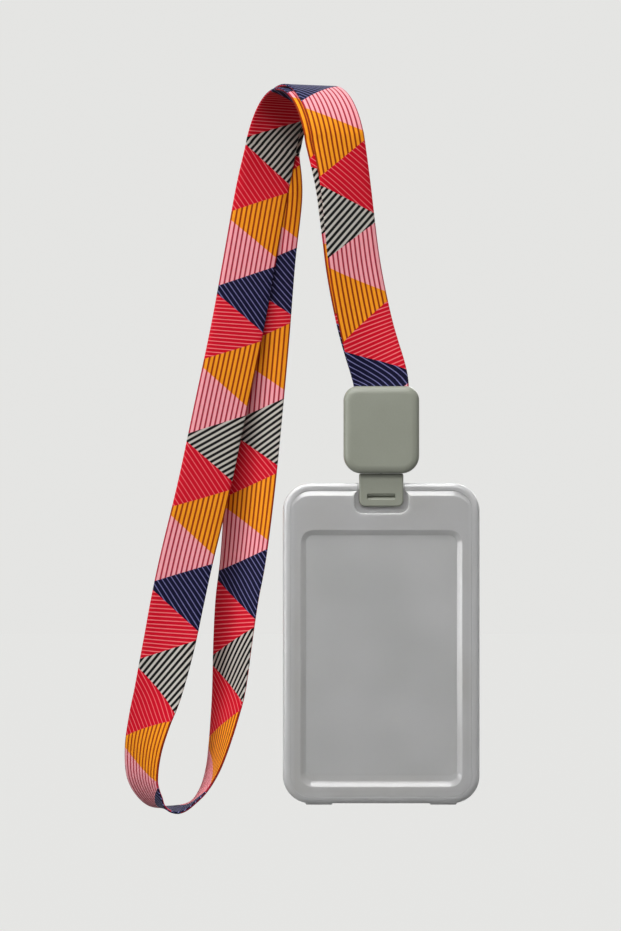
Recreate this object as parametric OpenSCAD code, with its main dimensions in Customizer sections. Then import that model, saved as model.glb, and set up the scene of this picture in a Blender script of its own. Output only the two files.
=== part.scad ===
// Badge wallet: a hard card case that hangs by a spring reel from a flat neck strap.
// Millimetres, X to the right, Y away from the viewer, Z up.
// The origin is where the strap rests on the bar that it hangs from.

/* [Strap] */
// Width of the neck strap
strap_w = 20; // [18:0.5:21]
// Thickness of the strap
strap_t = 1; // [0.8:0.05:1.15]
// Gap between the two runs of strap where one lies on the other
ply_gap = 0.5; // [0.4:0.05:0.7]
// Radius of the round bar that the strap hangs over
bar_r = 21; // [18:0.5:24]
// Depth of the neck loop below the top of the bar
loop_fall = 268.4; // [240:0.2:300]
// Drop from the top of the bar to the top of the reel
reel_fall = 109.6; // [95:0.2:130]
// Sideways place of the reel from the middle of the bar
reel_x = 28.4; // [26:0.1:34]

/* [Reel housing] */
// Width of the reel housing
reel_w = 27.3; // [26.8:0.1:32]
// Height of the reel housing
reel_h = 31.6; // [31.4:0.1:36]
// Thickness of the reel housing
reel_d = 11; // [10.6:0.1:13]
// Wall in front of and behind the spool
reel_wall = 1.6; // [1.2:0.1:1.9]
// Radius of the two top corners
reel_top_r = 5; // [4:0.1:6]
// Radius of the two bottom corners
reel_bottom_r = 6.5; // [5:0.1:7]
// Width of the soft rounding round the front face
pillow_w = 3; // [2:0.1:3.6]
// Depth of the soft rounding round the front face
pillow_d = 1.8; // [1:0.1:2.4]
// Radius of the pin that the strap turns round
strap_pin_r = 1; // [0.8:0.05:1.1]
// Height of the strap pin's middle below the top of the reel
strap_pin_drop = 3.4; // [3.2:0.1:3.6]
// Width of the slot that the strap comes out of, front to back
mouth_d = 5.4; // [4.8:0.1:6]

/* [Reel works] */
// Radius of the spool's flanges
spool_r = 10.9; // [10.6:0.05:11]
// Radius of the spool's core, under the cord
hub_r = 8.6; // [8.2:0.05:8.7]
// Thickness of each flange
flange_t = 0.8; // [0.6:0.05:1]
// Wall of the core, round the spring
hub_wall = 0.8; // [0.6:0.05:1]
// Radius of the post that the spool turns on
post_r = 2; // [1.8:0.05:2.2]
// Diameter of the pull cord
cord_d = 0.8; // [0.6:0.05:0.82]
// Number of layers of cord on the core
cord_layers = 2; // [1:1:2]
// Thickness of the spring strip
spring_t = 0.2; // [0.12:0.01:0.3]
// Turns of the spring
spring_turns = 6; // [4:1:7]

/* [Clip] */
// Width of the clip
clip_w = 16; // [15.6:0.1:17]
// Height of the clip below the reel
clip_h = 11.6; // [11.4:0.1:12.6]
// Thickness of the clip
clip_d = 4.6; // [4.4:0.1:4.9]
// Width of the slit in the clip
slit_w = 10.4; // [9.6:0.1:11.4]
// Radius of the arc that the tongue swings on
tongue_r = 8.2; // [8:0.05:8.4]
// Thickness of the tongue
tongue_t = 0.8; // [0.6:0.05:0.9]

/* [Case] */
// Width of the case
case_w = 71.4; // [70:0.2:80]
// Radius of the case's corners
case_r = 10; // [8:0.2:12]
// Depth of the front shell
cover_d = 3.4; // [3.2:0.1:4]
// Depth of the rear shell
tray_d = 2.4; // [2.2:0.1:3]
// Thickness of the shells' faces
skin = 1.2; // [1:0.05:1.3]
// Thickness of the shells' edge walls
edge_wall = 1.6; // [1.2:0.05:1.7]
// Width of the rounded shoulder round the front
shoulder_w = 2.7; // [2:0.1:3]
// Width of the flat floor of the sunk window, a little over a bank card
window_w = 54.6; // [54.4:0.1:56]
// Height of the flat floor of the sunk window
window_h = 86.8; // [86.2:0.1:88]
// Depth of the sunk window
window_depth = 1.2; // [0.8:0.05:1.3]
// Width of the window's sloping border at the top and the sides
window_slope = 2.2; // [1.6:0.1:2.6]
// Width of the sloping border at the window's foot, where a thumb slides the card out
window_foot = 4.5; // [2.6:0.1:5]
// Height of the plain panel between the case's top edge and the window
brow_h = 16.8; // [16.4:0.1:20]
// Height of the plain border below the window
chin_h = 5.9; // [5.6:0.1:10]
// Width of the notch round the clip
notch_w = 19.4; // [19.2:0.1:21]
// Depth of the notch below the case's top edge
notch_h = 10.8; // [10.6:0.1:12]
// Width of each film hinge
film_w = 10.1; // [8:0.1:12]
// Distance between the two film hinges
film_pitch = 45.1; // [40:0.1:48]

/* [Hidden] */
$fn = 48;
// Facets of the round corners inside a hull
corner_fn = 32;
// How far a cut runs past the face that it opens
over = 1;
// Clearance of a shaft in a hole that it turns in
run_gap = 0.06;
// Clearance of a piece that sits still in its seat
seat_gap = 0.05;
// Gap between pieces that move past each other
free_gap = 0.3;

// The bar is turned and the strap crosses it aslant: degrees
bar_turn = 17;
wrap_slant = 9;
// How far the outer run sits to the right of the inner run on the bar
ply_slip = 2.2;
// Degrees between two rings of strap on the bar and round the pin
bar_step = 10;
pin_step = 20;
// Degrees between two layers of a rolled edge
roll_step = 22.5;
// Rings of strap for each row of the tables below
leg_rings = 3;

// Front leg: how far down it is, how far across it is, both as shares of the way to the reel,
// the share of the slip that is left there, and the strap's turn in degrees
leg_shares = [
    [0.17, 0.163, 0.60, 23], [0.38, 0.300, 0.35, 21], [0.51, 0.392, 0.30, 18], [0.64, 0.520, 0.25, 15],
    [0.76, 0.663, 0.15, 11], [0.85, 0.800, 0.08, 7], [0.92, 0.915, 0.04, 3], [0.98, 0.990, 0, 0]];

// Neck loop, as shares of its fall: how far down, the front run's and the rear run's place
// across, how far the runs stand apart front to back, then the turn of each in degrees
loop_shares = [
    [0.135, -0.059, -0.038, 0, 10, 9], [0.225, -0.075, -0.048, 0.004, 10, 5],
    [0.325, -0.093, -0.056, 0.011, 9, 2], [0.440, -0.117, -0.066, 0.019, 9, -8],
    [0.545, -0.139, -0.075, 0.024, 7, -18], [0.645, -0.163, -0.085, 0.028, 3, -29],
    [0.705, -0.176, -0.094, 0.028, -2, -35], [0.765, -0.188, -0.100, 0.026, -11, -42],
    [0.830, -0.203, -0.105, 0.021, -24, -50], [0.870, -0.215, -0.111, 0.015, -35, -58],
    [0.915, -0.225, -0.120, 0.009, -44, -68]];

// Foot of the loop, from the rear run to the front run, as shares of the fall: how far down,
// how far across, how far back from the middle, then the turn in degrees
foot_shares = [
    [0.947, -0.129, 0.0056, -76], [0.974, -0.142, 0.0038, -84], [0.993, -0.160, 0.0015, -90],
    [0.999, -0.183, -0.0010, -78], [0.989, -0.207, -0.0035, -60], [0.958, -0.225, -0.0056, -52]];

// Directions along the bar and across it to the front
bar_dir = [cos(bar_turn), sin(bar_turn), 0];
front_dir = [sin(bar_turn), -cos(bar_turn), 0];
up_dir = [0, 0, 1];
ply_pitch = strap_t + ply_gap;
inner_r = bar_r + strap_t / 2;
outer_r = inner_r + ply_pitch;
pair_r = (inner_r + outer_r) / 2;
wrap_run = PI * pair_r * tan(wrap_slant);
bar_mid = [0, 0, -bar_r];
// Where the pair of runs leaves the bar, in front and behind
leg_top = bar_mid + pair_r * front_dir + wrap_run / 2 * bar_dir;
back_top = bar_mid - pair_r * front_dir - wrap_run / 2 * bar_dir;

// Places of the reel, its works and the clip
reel_y = leg_top[1];
reel_top = -reel_fall;
reel_mid = reel_top - reel_h / 2;
reel_floor = reel_top - reel_h;
strap_pin_z = reel_top - strap_pin_drop;
pin_path_r = strap_pin_r + run_gap + strap_t / 2;
pocket_r = pin_path_r + strap_t / 2 + free_gap;
mouth_w = strap_w + 2 * free_gap;
strap_pin_len = strap_w + 2 * reel_wall + free_gap;
cavity_gap = 0.4;
cavity_r = spool_r + cavity_gap;
floor_wall = 1.9;
spool_z = reel_floor + floor_wall + cavity_r;
works_d = reel_d - 2 * reel_wall;
spool_side_gap = 0.4;
spool_d = works_d - 2 * spool_side_gap;
groove_d = spool_d - 2 * flange_t;
winding_r = hub_r + seat_gap + cord_layers * cord_d;
chamber_r = hub_r - hub_wall;
spigot_step = 0.8;
spigot_r = post_r - spigot_step;
spigot_len = 0.8;

// The four screws, from the middle of the reel
screw_r = 0.75;
screw_head_r = 1.4;
screw_head_t = 0.9;
screw_cross_share = 0.7;
screw_len = reel_d - 2 * reel_wall;
screw_edge = 2.45;
screw_low_edge = 3.4;
screw_low_rise = 3.1;
screw_high_drop = 7.3;
screw_places = [
    [reel_w / 2 - screw_edge, reel_h / 2 - screw_high_drop],
    [reel_w / 2 - screw_low_edge, screw_low_rise - reel_h / 2]];

// The cord runs from the spool's edge into the eyelet: round points from the spool's middle
cord_gap = 0.05;
eyelet_r = 1.6;
eyelet_bore_r = 0.65;
eyelet_len = 1;
funnel_r = 3.2;
cord_sides = 8;
cord_leave = 25;
cord_reach_r = winding_r + cord_gap + cord_d / 2;
cord_start = cord_reach_r * [sin(cord_leave), -cos(cord_leave)];
cord_slope = [-cos(cord_leave), -sin(cord_leave)];
cord_guide = reel_floor + eyelet_len - spool_z;

// The clip and its flap, measured from the case's front face backwards
clip_gap = 0.4;
clip_top = reel_floor - clip_gap;
clip_floor = reel_floor - clip_h - clip_gap;
clip_proud = 0.3;
clip_r = 1.6;
clip_edge = 0.6;
case_depth = cover_d + tray_d;
case_front = reel_y + clip_proud - clip_d / 2;
case_back = case_front + case_depth;
part_y = case_front + cover_d;
plate_y = case_back - skin;
clip_front = case_front - clip_proud;
clip_back = plate_y - free_gap;
knuckle_r = 1.3;
knuckle_w = 9;
knuckle_drop = 0.2;
clip_pin_r = 0.5;
clip_pin_inset = 0.8;
clip_pin_end = 0.2;
clip_pin_y = case_back - clip_pin_inset;
clip_pin_z = clip_top - knuckle_drop - knuckle_r;
clip_pin_len = clip_w - 2 * clip_pin_end;
flap_t = 1.4;
flap_w = 14;
flap_step = 0.6;
flap_front = case_back + free_gap;
flap_back = flap_front + flap_t;
flap_floor = clip_floor + flap_step;
flap_top = clip_pin_z - knuckle_r - flap_step;
tongue_side_gap = 0.3;
tongue_w = slit_w - 2 * tongue_side_gap;
tongue_inset = 1;
slit_gap = 0.2;
bore_r = 0.6;
ferrule_r = 1;
ferrule_len = 2;
ferrule_drop = 2.4;

// The case
case_drop = 3.5;
case_top = reel_floor - case_drop;
case_h = brow_h + window_slope + window_h + window_foot + chin_h;
case_mid = case_top - case_h / 2;
case_floor = case_top - case_h;
cover_shoulder_d = 1.6;
tray_shoulder_w = 2;
tray_shoulder_d = 1.1;
part_gap = 0.1;
window_r = 2.6;
window_mid = case_top - brow_h - window_slope - window_h / 2;
window_wall = 1;
notch_r = 3;
notch_dip = 1.2;
relief_t = 0.3;
relief_edge = 1.2;
slot_w = 13;
slot_play = 0.4;
slot_sag = 1.2;
tongue_z = clip_pin_z - tongue_r;
fence_t = 1;
fence_gap = 0.2;
fence_h = plate_y - (case_front + window_depth + skin) - free_gap;
fence_break = 20;
lug_t = 1;
lug_h = 3;
lug_rise = 1.6;
lug_high = 20.2;
lug_low = -15.8;
film_t = 0.35;
film_drop = 0.7;
film_bevel = 0.5;
fold_r = 0.5;
fold_drop = film_drop - fold_r;

function unit(v) = v / norm(v);
function level(turn) = [cos(turn), sin(turn), 0];

// A smooth curve through the rows a, b, c and d, at share t of the way from b to c
function glide(a, b, c, d, t) =
    (2 * b + (c - a) * t + (2 * a - 5 * b + 4 * c - d) * t * t
        + (3 * b - a - 3 * c + d) * t * t * t) / 2;

// A row is a point, the turn of the strap's width there, and the rings up to the next row
function row(p, turn, rings) = [p[0], p[1], p[2], turn, rings];

// A run over the bar, at angle a from the front
function over_bar(r, slip, a) =
    bar_mid + r * (cos(a) * front_dir + sin(a) * up_dir)
    + (wrap_run / 2 * (1 - a / 90) + slip) * bar_dir;

// Front leg: side is 1 for the outer run, in front, and -1 for the inner run
function leg_row(s, side) =
    let (down = reel_fall - bar_r, across = reel_x - leg_top[0])
    row([leg_top[0] + s[1] * across, leg_top[1], -bar_r - s[0] * down]
            + side * ply_pitch / 2 * [sin(s[3]), -cos(s[3]), 0]
            + side * ply_slip / 2 * s[2] * level(s[3]),
        s[3], leg_rings);

// Neck loop: side is 1 for the rear run and -1 for the front run
function loop_row(s, side) =
    row([(side > 0 ? s[2] : s[1]) * loop_fall,
            back_top[1] + side * (ply_pitch + s[3] * loop_fall) / 2, -s[0] * loop_fall],
        side > 0 ? s[5] : s[4], leg_rings);

function foot_row(s) =
    row([s[1] * loop_fall, back_top[1] + s[2] * loop_fall, -s[0] * loop_fall], s[3], leg_rings);

// The strap turns under the pin, from the rear, at angle 0, to the front, at 180
function pin_row(a) =
    row([reel_x, reel_y + pin_path_r * cos(a), strap_pin_z - pin_path_r * sin(a)], 0, bend_rings(a, 180));

// Bends have one ring for each row, and the last row of a bend leads on to a leg
function bend_rings(a, last) = a == last ? leg_rings : 1;

last_leg = len(leg_shares) - 1;
last_loop = len(loop_shares) - 1;

strap_rows = concat(
    [for (i = [last_leg:-1:0]) leg_row(leg_shares[i], 1)],
    [for (a = [0:bar_step:180])
        row(over_bar(outer_r, ply_slip / 2, a), bar_turn, bend_rings(a, 180))],
    [for (s = loop_shares) loop_row(s, 1)],
    [for (s = foot_shares) foot_row(s)],
    [for (i = [last_loop:-1:0]) loop_row(loop_shares[i], -1)],
    [for (a = [180:-bar_step:0])
        row(over_bar(inner_r, -ply_slip / 2, a), bar_turn, bend_rings(a, 0))],
    [for (s = leg_shares) leg_row(s, -1)],
    [for (a = [0:pin_step:180]) pin_row(a)]);

strap_count = len(strap_rows);
strap_rings = [for (i = [0:strap_count - 1])
    let (a = strap_rows[(i + strap_count - 1) % strap_count], b = strap_rows[i],
         c = strap_rows[(i + 1) % strap_count], d = strap_rows[(i + 2) % strap_count])
    for (k = [0:b[4] - 1]) glide(a, b, c, d, k / b[4])];

function spot(r) = [r[0], r[1], r[2]];

// The four corners of one ring of strap
function ring_corners(before, here, after) =
    let (run = unit(spot(after) - spot(before)),
         lean = level(here[3]),
         wide = unit(lean - (lean * run) * run),
         out = cross(wide, run))
    [for (c = [[-1, -1], [1, -1], [1, 1], [-1, 1]])
        spot(here) + c[0] * strap_w / 2 * wide + c[1] * strap_t / 2 * out];

module strap() {
    n = len(strap_rings);
    color("crimson")
        polyhedron(
            points = [for (i = [0:n - 1])
                each ring_corners(strap_rings[(i + n - 1) % n], strap_rings[i], strap_rings[(i + 1) % n])],
            faces = [for (i = [0:n - 1]) for (k = [0:3])
                let (a = 4 * i, b = 4 * ((i + 1) % n), m = (k + 1) % 4)
                each [[a + k, b + k, b + m], [a + k, b + m, a + m]]]);
}

// A rod along Y, from front to back
module rod(r, front, back) {
    translate([0, back, 0]) rotate([90, 0, 0]) cylinder(h = back - front, r = r);
}

// A rod along X, centred
module bar(r, length) {
    rotate([0, 90, 0]) cylinder(h = length, r = r, center = true);
}

// A box from its lowest to its highest corner
module box(low, high) {
    translate(low) cube(high - low);
}

// The four corner rods of a rounded plate that is drawn in by inset; a hull closes them
module corner_rods(w, h, r_top, r_bottom, inset, front, back) {
    for (side = [-1, 1]) {
        translate([side * (w / 2 - r_top), 0, h / 2 - r_top])
            rod(r_top - inset, front, back, $fn = corner_fn);
        translate([side * (w / 2 - r_bottom), 0, r_bottom - h / 2])
            rod(r_bottom - inset, front, back, $fn = corner_fn);
    }
}

// A rounded plate whose front edge rolls in by roll_w over roll_d
module rolled_front(w, h, r_top, r_bottom, roll_w, roll_d, front, back) {
    hull() {
        corner_rods(w, h, r_top, r_bottom, 0, front + roll_d, back);
        for (a = [0:roll_step:90 - roll_step])
            corner_rods(w, h, r_top, r_bottom, roll_w * (1 - sin(a)),
                front + roll_d * (1 - cos(a)), front + roll_d);
    }
}

// The same with the rolled edge behind
module rolled_back(w, h, r_top, r_bottom, roll_w, roll_d, front, back) {
    translate([0, front + back, 0]) mirror([0, 1, 0])
        rolled_front(w, h, r_top, r_bottom, roll_w, roll_d, front, back);
}

module strap_pin() {
    color("silver") translate([reel_x, reel_y, strap_pin_z]) bar(strap_pin_r, strap_pin_len);
}

// Everything that is cut from both halves of the housing, from the reel's middle
module reel_hollow() {
    translate([0, 0, strap_pin_z - reel_mid]) {
        bar(strap_pin_r + seat_gap, strap_pin_len + 2 * seat_gap);
        bar(pocket_r, mouth_w);
        box([-mouth_w / 2, -mouth_d / 2, 0], [mouth_w / 2, mouth_d / 2, strap_pin_drop + over]);
    }
    translate([0, 0, spool_z - reel_mid]) rod(cavity_r, -works_d / 2, works_d / 2);
    translate([0, 0, -reel_h / 2 - over]) cylinder(h = over + eyelet_len + seat_gap, r = eyelet_r + seat_gap);
    translate([0, 0, eyelet_len - reel_h / 2]) cylinder(h = floor_wall, r = funnel_r);
    for (side = [-1, 1]) for (p = screw_places)
        translate([side * p[0], 0, p[1]]) {
            rod(screw_r + seat_gap, reel_wall - reel_d / 2, reel_d / 2 + over);
            rod(screw_head_r + seat_gap, reel_d / 2 - screw_head_t, reel_d / 2 + over);
        }
}

module reel_front_cover() {
    color([0.53, 0.54, 0.48]) translate([reel_x, reel_y, reel_mid])
        difference() {
            rolled_front(reel_w, reel_h, reel_top_r, reel_bottom_r, pillow_w, pillow_d, -reel_d / 2, 0);
            reel_hollow();
            translate([0, 0, spool_z - reel_mid])
                rod(spigot_r + run_gap, -works_d / 2 - spigot_len, 0);
        }
}

// The post carries the spool, and a slot in it holds the spring's inner end
module post() {
    difference() {
        union() {
            rod(post_r, spool_side_gap / 2 - works_d / 2, works_d / 2);
            rod(spigot_r, -works_d / 2 - spigot_len / 2, works_d / 2);
        }
        box([-post_r - over, -works_d / 2 - over, -spring_t],
            [0, works_d / 2 - spool_side_gap - flange_t, spring_t]);
    }
}

module reel_rear_cover() {
    color([0.53, 0.54, 0.48]) translate([reel_x, reel_y, reel_mid]) {
        difference() {
            rolled_back(reel_w, reel_h, reel_top_r, reel_bottom_r, pillow_w / 2, pillow_d / 2, 0, reel_d / 2);
            reel_hollow();
        }
        translate([0, 0, spool_z - reel_mid]) post();
    }
}

// A screw with its head at the back and a cross in the head
module screw() {
    cross_w = screw_head_r / 3;
    cross_r = screw_head_r * screw_cross_share;
    difference() {
        union() {
            rod(screw_r, reel_d / 2 - screw_head_t - screw_len, reel_d / 2 - seat_gap);
            rod(screw_head_r, reel_d / 2 - screw_head_t + seat_gap, reel_d / 2 - seat_gap);
        }
        for (turn = [0, 90]) rotate([0, turn, 0])
            box([-cross_r, reel_d / 2 - screw_head_t / 2, -cross_w / 2],
                [cross_r, reel_d / 2 + over, cross_w / 2]);
    }
}

module housing_screws() {
    color("silver") translate([reel_x, reel_y, reel_mid])
        for (side = [-1, 1]) for (p = screw_places) translate([side * p[0], 0, p[1]]) screw();
}

module cord_eyelet() {
    color("silver") translate([reel_x, reel_y, reel_floor])
        difference() {
            cylinder(h = eyelet_len, r = eyelet_r);
            translate([0, 0, -over]) cylinder(h = eyelet_len + 2 * over, r = eyelet_bore_r);
        }
}

// The drum: two flanges, the core between them, and the spring's chamber inside it
module spool_drum() {
    color("ivory") translate([reel_x, reel_y, spool_z])
        difference() {
            union() {
                rod(spool_r, spool_d / 2 - flange_t, spool_d / 2);
                rod(spool_r, -spool_d / 2, flange_t - spool_d / 2);
                rod(hub_r, -spool_d / 2, spool_d / 2);
            }
            rod(chamber_r, -spool_d / 2 - over, spool_d / 2 - flange_t);
            rod(post_r + run_gap, 0, spool_d / 2 + over);
        }
}

module spool_cap() {
    color("ivory") translate([reel_x, reel_y, spool_z])
        difference() {
            rod(chamber_r - seat_gap, -spool_d / 2, flange_t - spool_d / 2);
            rod(post_r + run_gap, -spool_d / 2 - over, flange_t - spool_d / 2 + over);
        }
}

// A flat spiral strip from the slot in the post to the wall of the chamber
module power_spring() {
    steps = 20 * spring_turns;
    inside = post_r + spring_t;
    outside = chamber_r - spring_t - seat_gap;
    function coil(k, side) =
        let (a = 180 + 360 * spring_turns * k / steps, r = inside + (outside - inside) * k / steps)
        (r + side * spring_t / 2) * [cos(a), sin(a)];
    front = flange_t - spool_d / 2 + free_gap;
    back = spool_d / 2 - flange_t - free_gap;
    color("steelblue") translate([reel_x, reel_y, spool_z]) {
        translate([0, back, 0]) rotate([90, 0, 0]) linear_extrude(back - front)
            polygon(concat([for (k = [0:steps]) coil(k, 1)], [for (k = [steps:-1:0]) coil(k, -1)]));
        // The bent end that sits in the post's slot
        box([-inside - spring_t / 2, front, 0], [-post_r / 2, back, spring_t / 2]);
    }
}

module cord_winding() {
    color("dimgray") translate([reel_x, reel_y, spool_z])
        difference() {
            rod(winding_r, seat_gap - groove_d / 2, groove_d / 2 - seat_gap);
            rod(hub_r + seat_gap, -groove_d, groove_d);
        }
}

// The cord's route in the plane of the reel, from the spool's edge down into the clip
cord_route = [
    cord_start, cord_start + 1.2 * cord_slope * cord_d, cord_start + 2.4 * cord_slope * cord_d,
    [cord_start[0] / 3, (cord_start[1] + 2 * cord_guide) / 3],
    [cord_d / 3, cord_guide + cord_d], [0, cord_guide + cord_d / 3], [0, cord_guide - eyelet_len],
    [0, clip_top - ferrule_drop - spool_z], [0, clip_top - ferrule_drop - ferrule_len - spool_z]];

module pull_cord() {
    n = len(cord_route);
    rings = [for (i = [0:n - 1])
        let (run = unit(cord_route[min(i + 1, n - 1)] - cord_route[max(i - 1, 0)]),
             side = [run[1], 0, -run[0]], p = [cord_route[i][0], 0, cord_route[i][1]])
        for (k = [0:cord_sides - 1])
            let (a = 360 * k / cord_sides)
            p + cord_d / 2 * (cos(a) * side + sin(a) * [0, 1, 0])];
    color("dimgray") translate([reel_x, reel_y, spool_z])
        polyhedron(points = rings, faces = concat(
            [[for (k = [0:cord_sides - 1]) k]],
            [for (i = [0:n - 2]) for (k = [0:cord_sides - 1])
                let (a = cord_sides * i, b = a + cord_sides, m = (k + 1) % cord_sides)
                each [[a + k, b + k, b + m], [a + k, b + m, a + m]]],
            [[for (k = [cord_sides - 1:-1:0]) cord_sides * (n - 1) + k]]));
}

module cord_ferrule() {
    color("goldenrod") translate([reel_x, reel_y, clip_top - ferrule_drop - ferrule_len])
        difference() {
            cylinder(h = ferrule_len, r = ferrule_r);
            translate([0, 0, -over]) cylinder(h = ferrule_len + 2 * over, r = cord_d / 2 + seat_gap);
        }
}

module clip_body() {
    h = clip_top - clip_floor;
    color([0.53, 0.54, 0.5]) difference() {
        union() {
            translate([reel_x, 0, (clip_top + clip_floor) / 2])
                rolled_front(clip_w, h, clip_r / 2 + clip_edge, clip_r + clip_edge, clip_edge, clip_edge,
                    clip_front, clip_back);
            // The two ears that hold the pin
            for (side = [-1, 1]) {
                ear_w = (clip_w - knuckle_w) / 2 - free_gap;
                translate([reel_x + side * (clip_w - ear_w) / 2, clip_pin_y, clip_pin_z]) {
                    bar(knuckle_r, ear_w);
                    box([-ear_w / 2, clip_back - clip_edge - clip_pin_y, -knuckle_r],
                        [ear_w / 2, 0, knuckle_r]);
                }
            }
        }
        translate([reel_x, clip_pin_y, clip_pin_z]) {
            bar(clip_pin_r + seat_gap / 2, clip_w + 2 * over);
            bar(knuckle_r + free_gap, knuckle_w + 2 * free_gap);
            // The slit follows the arc that the tongue swings on
            difference() {
                bar(tongue_r + tongue_t / 2 + slit_gap, slit_w);
                bar(tongue_r - tongue_t / 2 - slit_gap, slit_w + 2 * over);
            }
        }
        translate([reel_x, reel_y, clip_top - ferrule_drop - ferrule_len]) {
            cylinder(h = ferrule_drop + ferrule_len + over, r = bore_r);
            translate([0, 0, -seat_gap]) cylinder(h = ferrule_len + 2 * seat_gap, r = ferrule_r + seat_gap);
            box([-ferrule_r - seat_gap, 0, -seat_gap],
                [ferrule_r + seat_gap, clip_d, ferrule_len + seat_gap]);
        }
    }
}

module clip_flap() {
    color([0.5, 0.51, 0.46]) difference() {
        union() {
            translate([reel_x, clip_pin_y, clip_pin_z]) {
                bar(knuckle_r, knuckle_w);
                // The neck from the knuckle down to the leaf
                neck_front = clip_pin_y - flap_front - clip_edge / 4;
                neck_back = clip_pin_y - flap_back + clip_edge / 2;
                neck_foot = flap_top - clip_pin_z - flap_t;
                translate([knuckle_w / 2, 0, 0]) rotate([90, 0, -90]) linear_extrude(knuckle_w)
                    polygon([[0, 0], [-knuckle_r / 2, knuckle_r / 2], [neck_back, -knuckle_r],
                        [neck_back, neck_foot], [neck_front, neck_foot], [neck_front, neck_foot + flap_t]]);
                // The tongue, part of a ring round the pin
                intersection() {
                    difference() {
                        bar(tongue_r + tongue_t / 2, tongue_w);
                        bar(tongue_r - tongue_t / 2, tongue_w + 2 * over);
                    }
                    box([-tongue_w, case_front + tongue_inset - clip_pin_y, -2 * tongue_r],
                        [tongue_w, flap_front + flap_t / 2 - clip_pin_y, 0]);
                }
            }
            translate([reel_x, 0, (flap_top + flap_floor) / 2])
                rolled_back(flap_w, flap_top - flap_floor, clip_r, clip_r, clip_edge, clip_edge,
                    flap_front, flap_back);
        }
        translate([reel_x, clip_pin_y, clip_pin_z]) bar(clip_pin_r + run_gap, clip_w);
    }
}

module clip_pin() {
    color("silver") translate([reel_x, clip_pin_y, clip_pin_z]) bar(clip_pin_r, clip_pin_len);
}

// The notch round the clip, a plain U that is open at the top
module notch(depth_front, depth_back, fall) {
    for (side = [-1, 1])
        translate([reel_x + side * (notch_w / 2 - notch_r), 0, case_top - fall + notch_r])
            rod(notch_r, depth_front, depth_back);
    box([reel_x - notch_w / 2, depth_front, case_top - fall + notch_r],
        [reel_x + notch_w / 2, depth_back, case_top + over]);
    box([reel_x - notch_w / 2 + notch_r, depth_front, case_top - fall],
        [reel_x + notch_w / 2 - notch_r, depth_back, case_top + over]);
}

// Low ribs that keep the card in its place, each side broken in the middle
module fence() {
    w = window_w / 2 + fence_gap;
    h = window_h / 2;
    difference() {
        box([-w - fence_t, -fence_h, -h - fence_t], [w + fence_t, seat_gap, h + fence_t]);
        box([-w, -fence_h - over, -h], [w, seat_gap + over, h]);
        box([-fence_break / 2, -fence_h - over, -h - fence_t - over],
            [fence_break / 2, seat_gap + over, h + fence_t + over]);
        box([-w - fence_t - over, -fence_h - over, -fence_break / 2],
            [w + fence_t + over, seat_gap + over, fence_break / 2]);
    }
}

module case_tray() {
    color([0.75, 0.75, 0.75, 0.6]) difference() {
        union() {
            difference() {
                translate([reel_x, 0, case_mid])
                    rolled_back(case_w, case_h, case_r, case_r, tray_shoulder_w, tray_shoulder_d,
                        part_y, case_back);
                translate([reel_x, 0, case_mid]) hull()
                    corner_rods(case_w, case_h, case_r, case_r, edge_wall, part_y - over, plate_y);
            }
            translate([reel_x, plate_y, window_mid]) fence();
            // The snap lugs stand inside the front shell's walls
            for (side = [-1, 1]) for (z = [lug_high, lug_low]) {
                x = reel_x + side * (case_w / 2 - edge_wall - seat_gap - free_gap / 2 - lug_t / 2);
                box([x - lug_t / 2, part_y - lug_rise, case_mid + z - lug_h / 2],
                    [x + lug_t / 2, plate_y + seat_gap, case_mid + z + lug_h / 2]);
            }
        }
        notch(part_y - over, plate_y, notch_h);
        notch(part_y - over, case_back + over, notch_dip + notch_r);
        // A shallow seat behind for the clip's flap
        notch(case_back - relief_t, case_back + over, case_top - clip_floor + relief_edge);
        // The hanging slot that the tongue goes through
        slot_top = tongue_z + tongue_t / 2 + slot_play;
        slot_floor = tongue_z - tongue_t / 2 - slot_sag;
        slot_r = (slot_top - slot_floor) / 2;
        for (side = [-1, 1])
            translate([reel_x + side * (slot_w / 2 - slot_r), 0, slot_floor + slot_r])
                rod(slot_r, part_y - over, case_back + over);
        box([reel_x - slot_w / 2 + slot_r, part_y - over, slot_floor],
            [reel_x + slot_w / 2 - slot_r, case_back + over, slot_top]);
    }
}

// The sunk window as a tapered block, grown by wall
module window_block(wall, floor_y) {
    w = window_w + 2 * wall;
    h = window_h + 2 * wall;
    r = window_r + wall;
    hull() {
        corner_rods(w, h, r, r, 0, case_front + skin / 2, floor_y);
        translate([0, 0, (window_slope - window_foot) / 2])
            corner_rods(w + 2 * window_slope, h + window_slope + window_foot, r + window_slope, r + window_slope,
                0, case_front - (wall > 0 ? 0 : over), case_front + (wall > 0 ? skin : 0));
    }
}

module case_cover() {
    color([0.78, 0.78, 0.78, 0.6]) difference() {
        union() {
            difference() {
                translate([reel_x, 0, case_mid])
                    rolled_front(case_w, case_h, case_r, case_r, shoulder_w, cover_shoulder_d,
                        case_front, part_y - part_gap);
                translate([reel_x, 0, case_mid]) hull()
                    corner_rods(case_w, case_h, case_r, case_r, edge_wall, case_front + skin, part_y + over);
            }
            translate([reel_x, 0, window_mid]) window_block(window_wall, case_front + window_depth + skin);
        }
        translate([reel_x, 0, window_mid]) window_block(0, case_front + window_depth);
        notch(case_front - over, part_y + over, notch_h);
    }
}

// The cross-section of a film hinge as a bar along X: round below, open above
module film_loop(r) {
    length = film_w + 2 * over;
    translate([0, 0, -fold_drop]) bar(r, length);
    box([-length / 2, -r, -fold_drop], [length / 2, r, over]);
}

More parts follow.
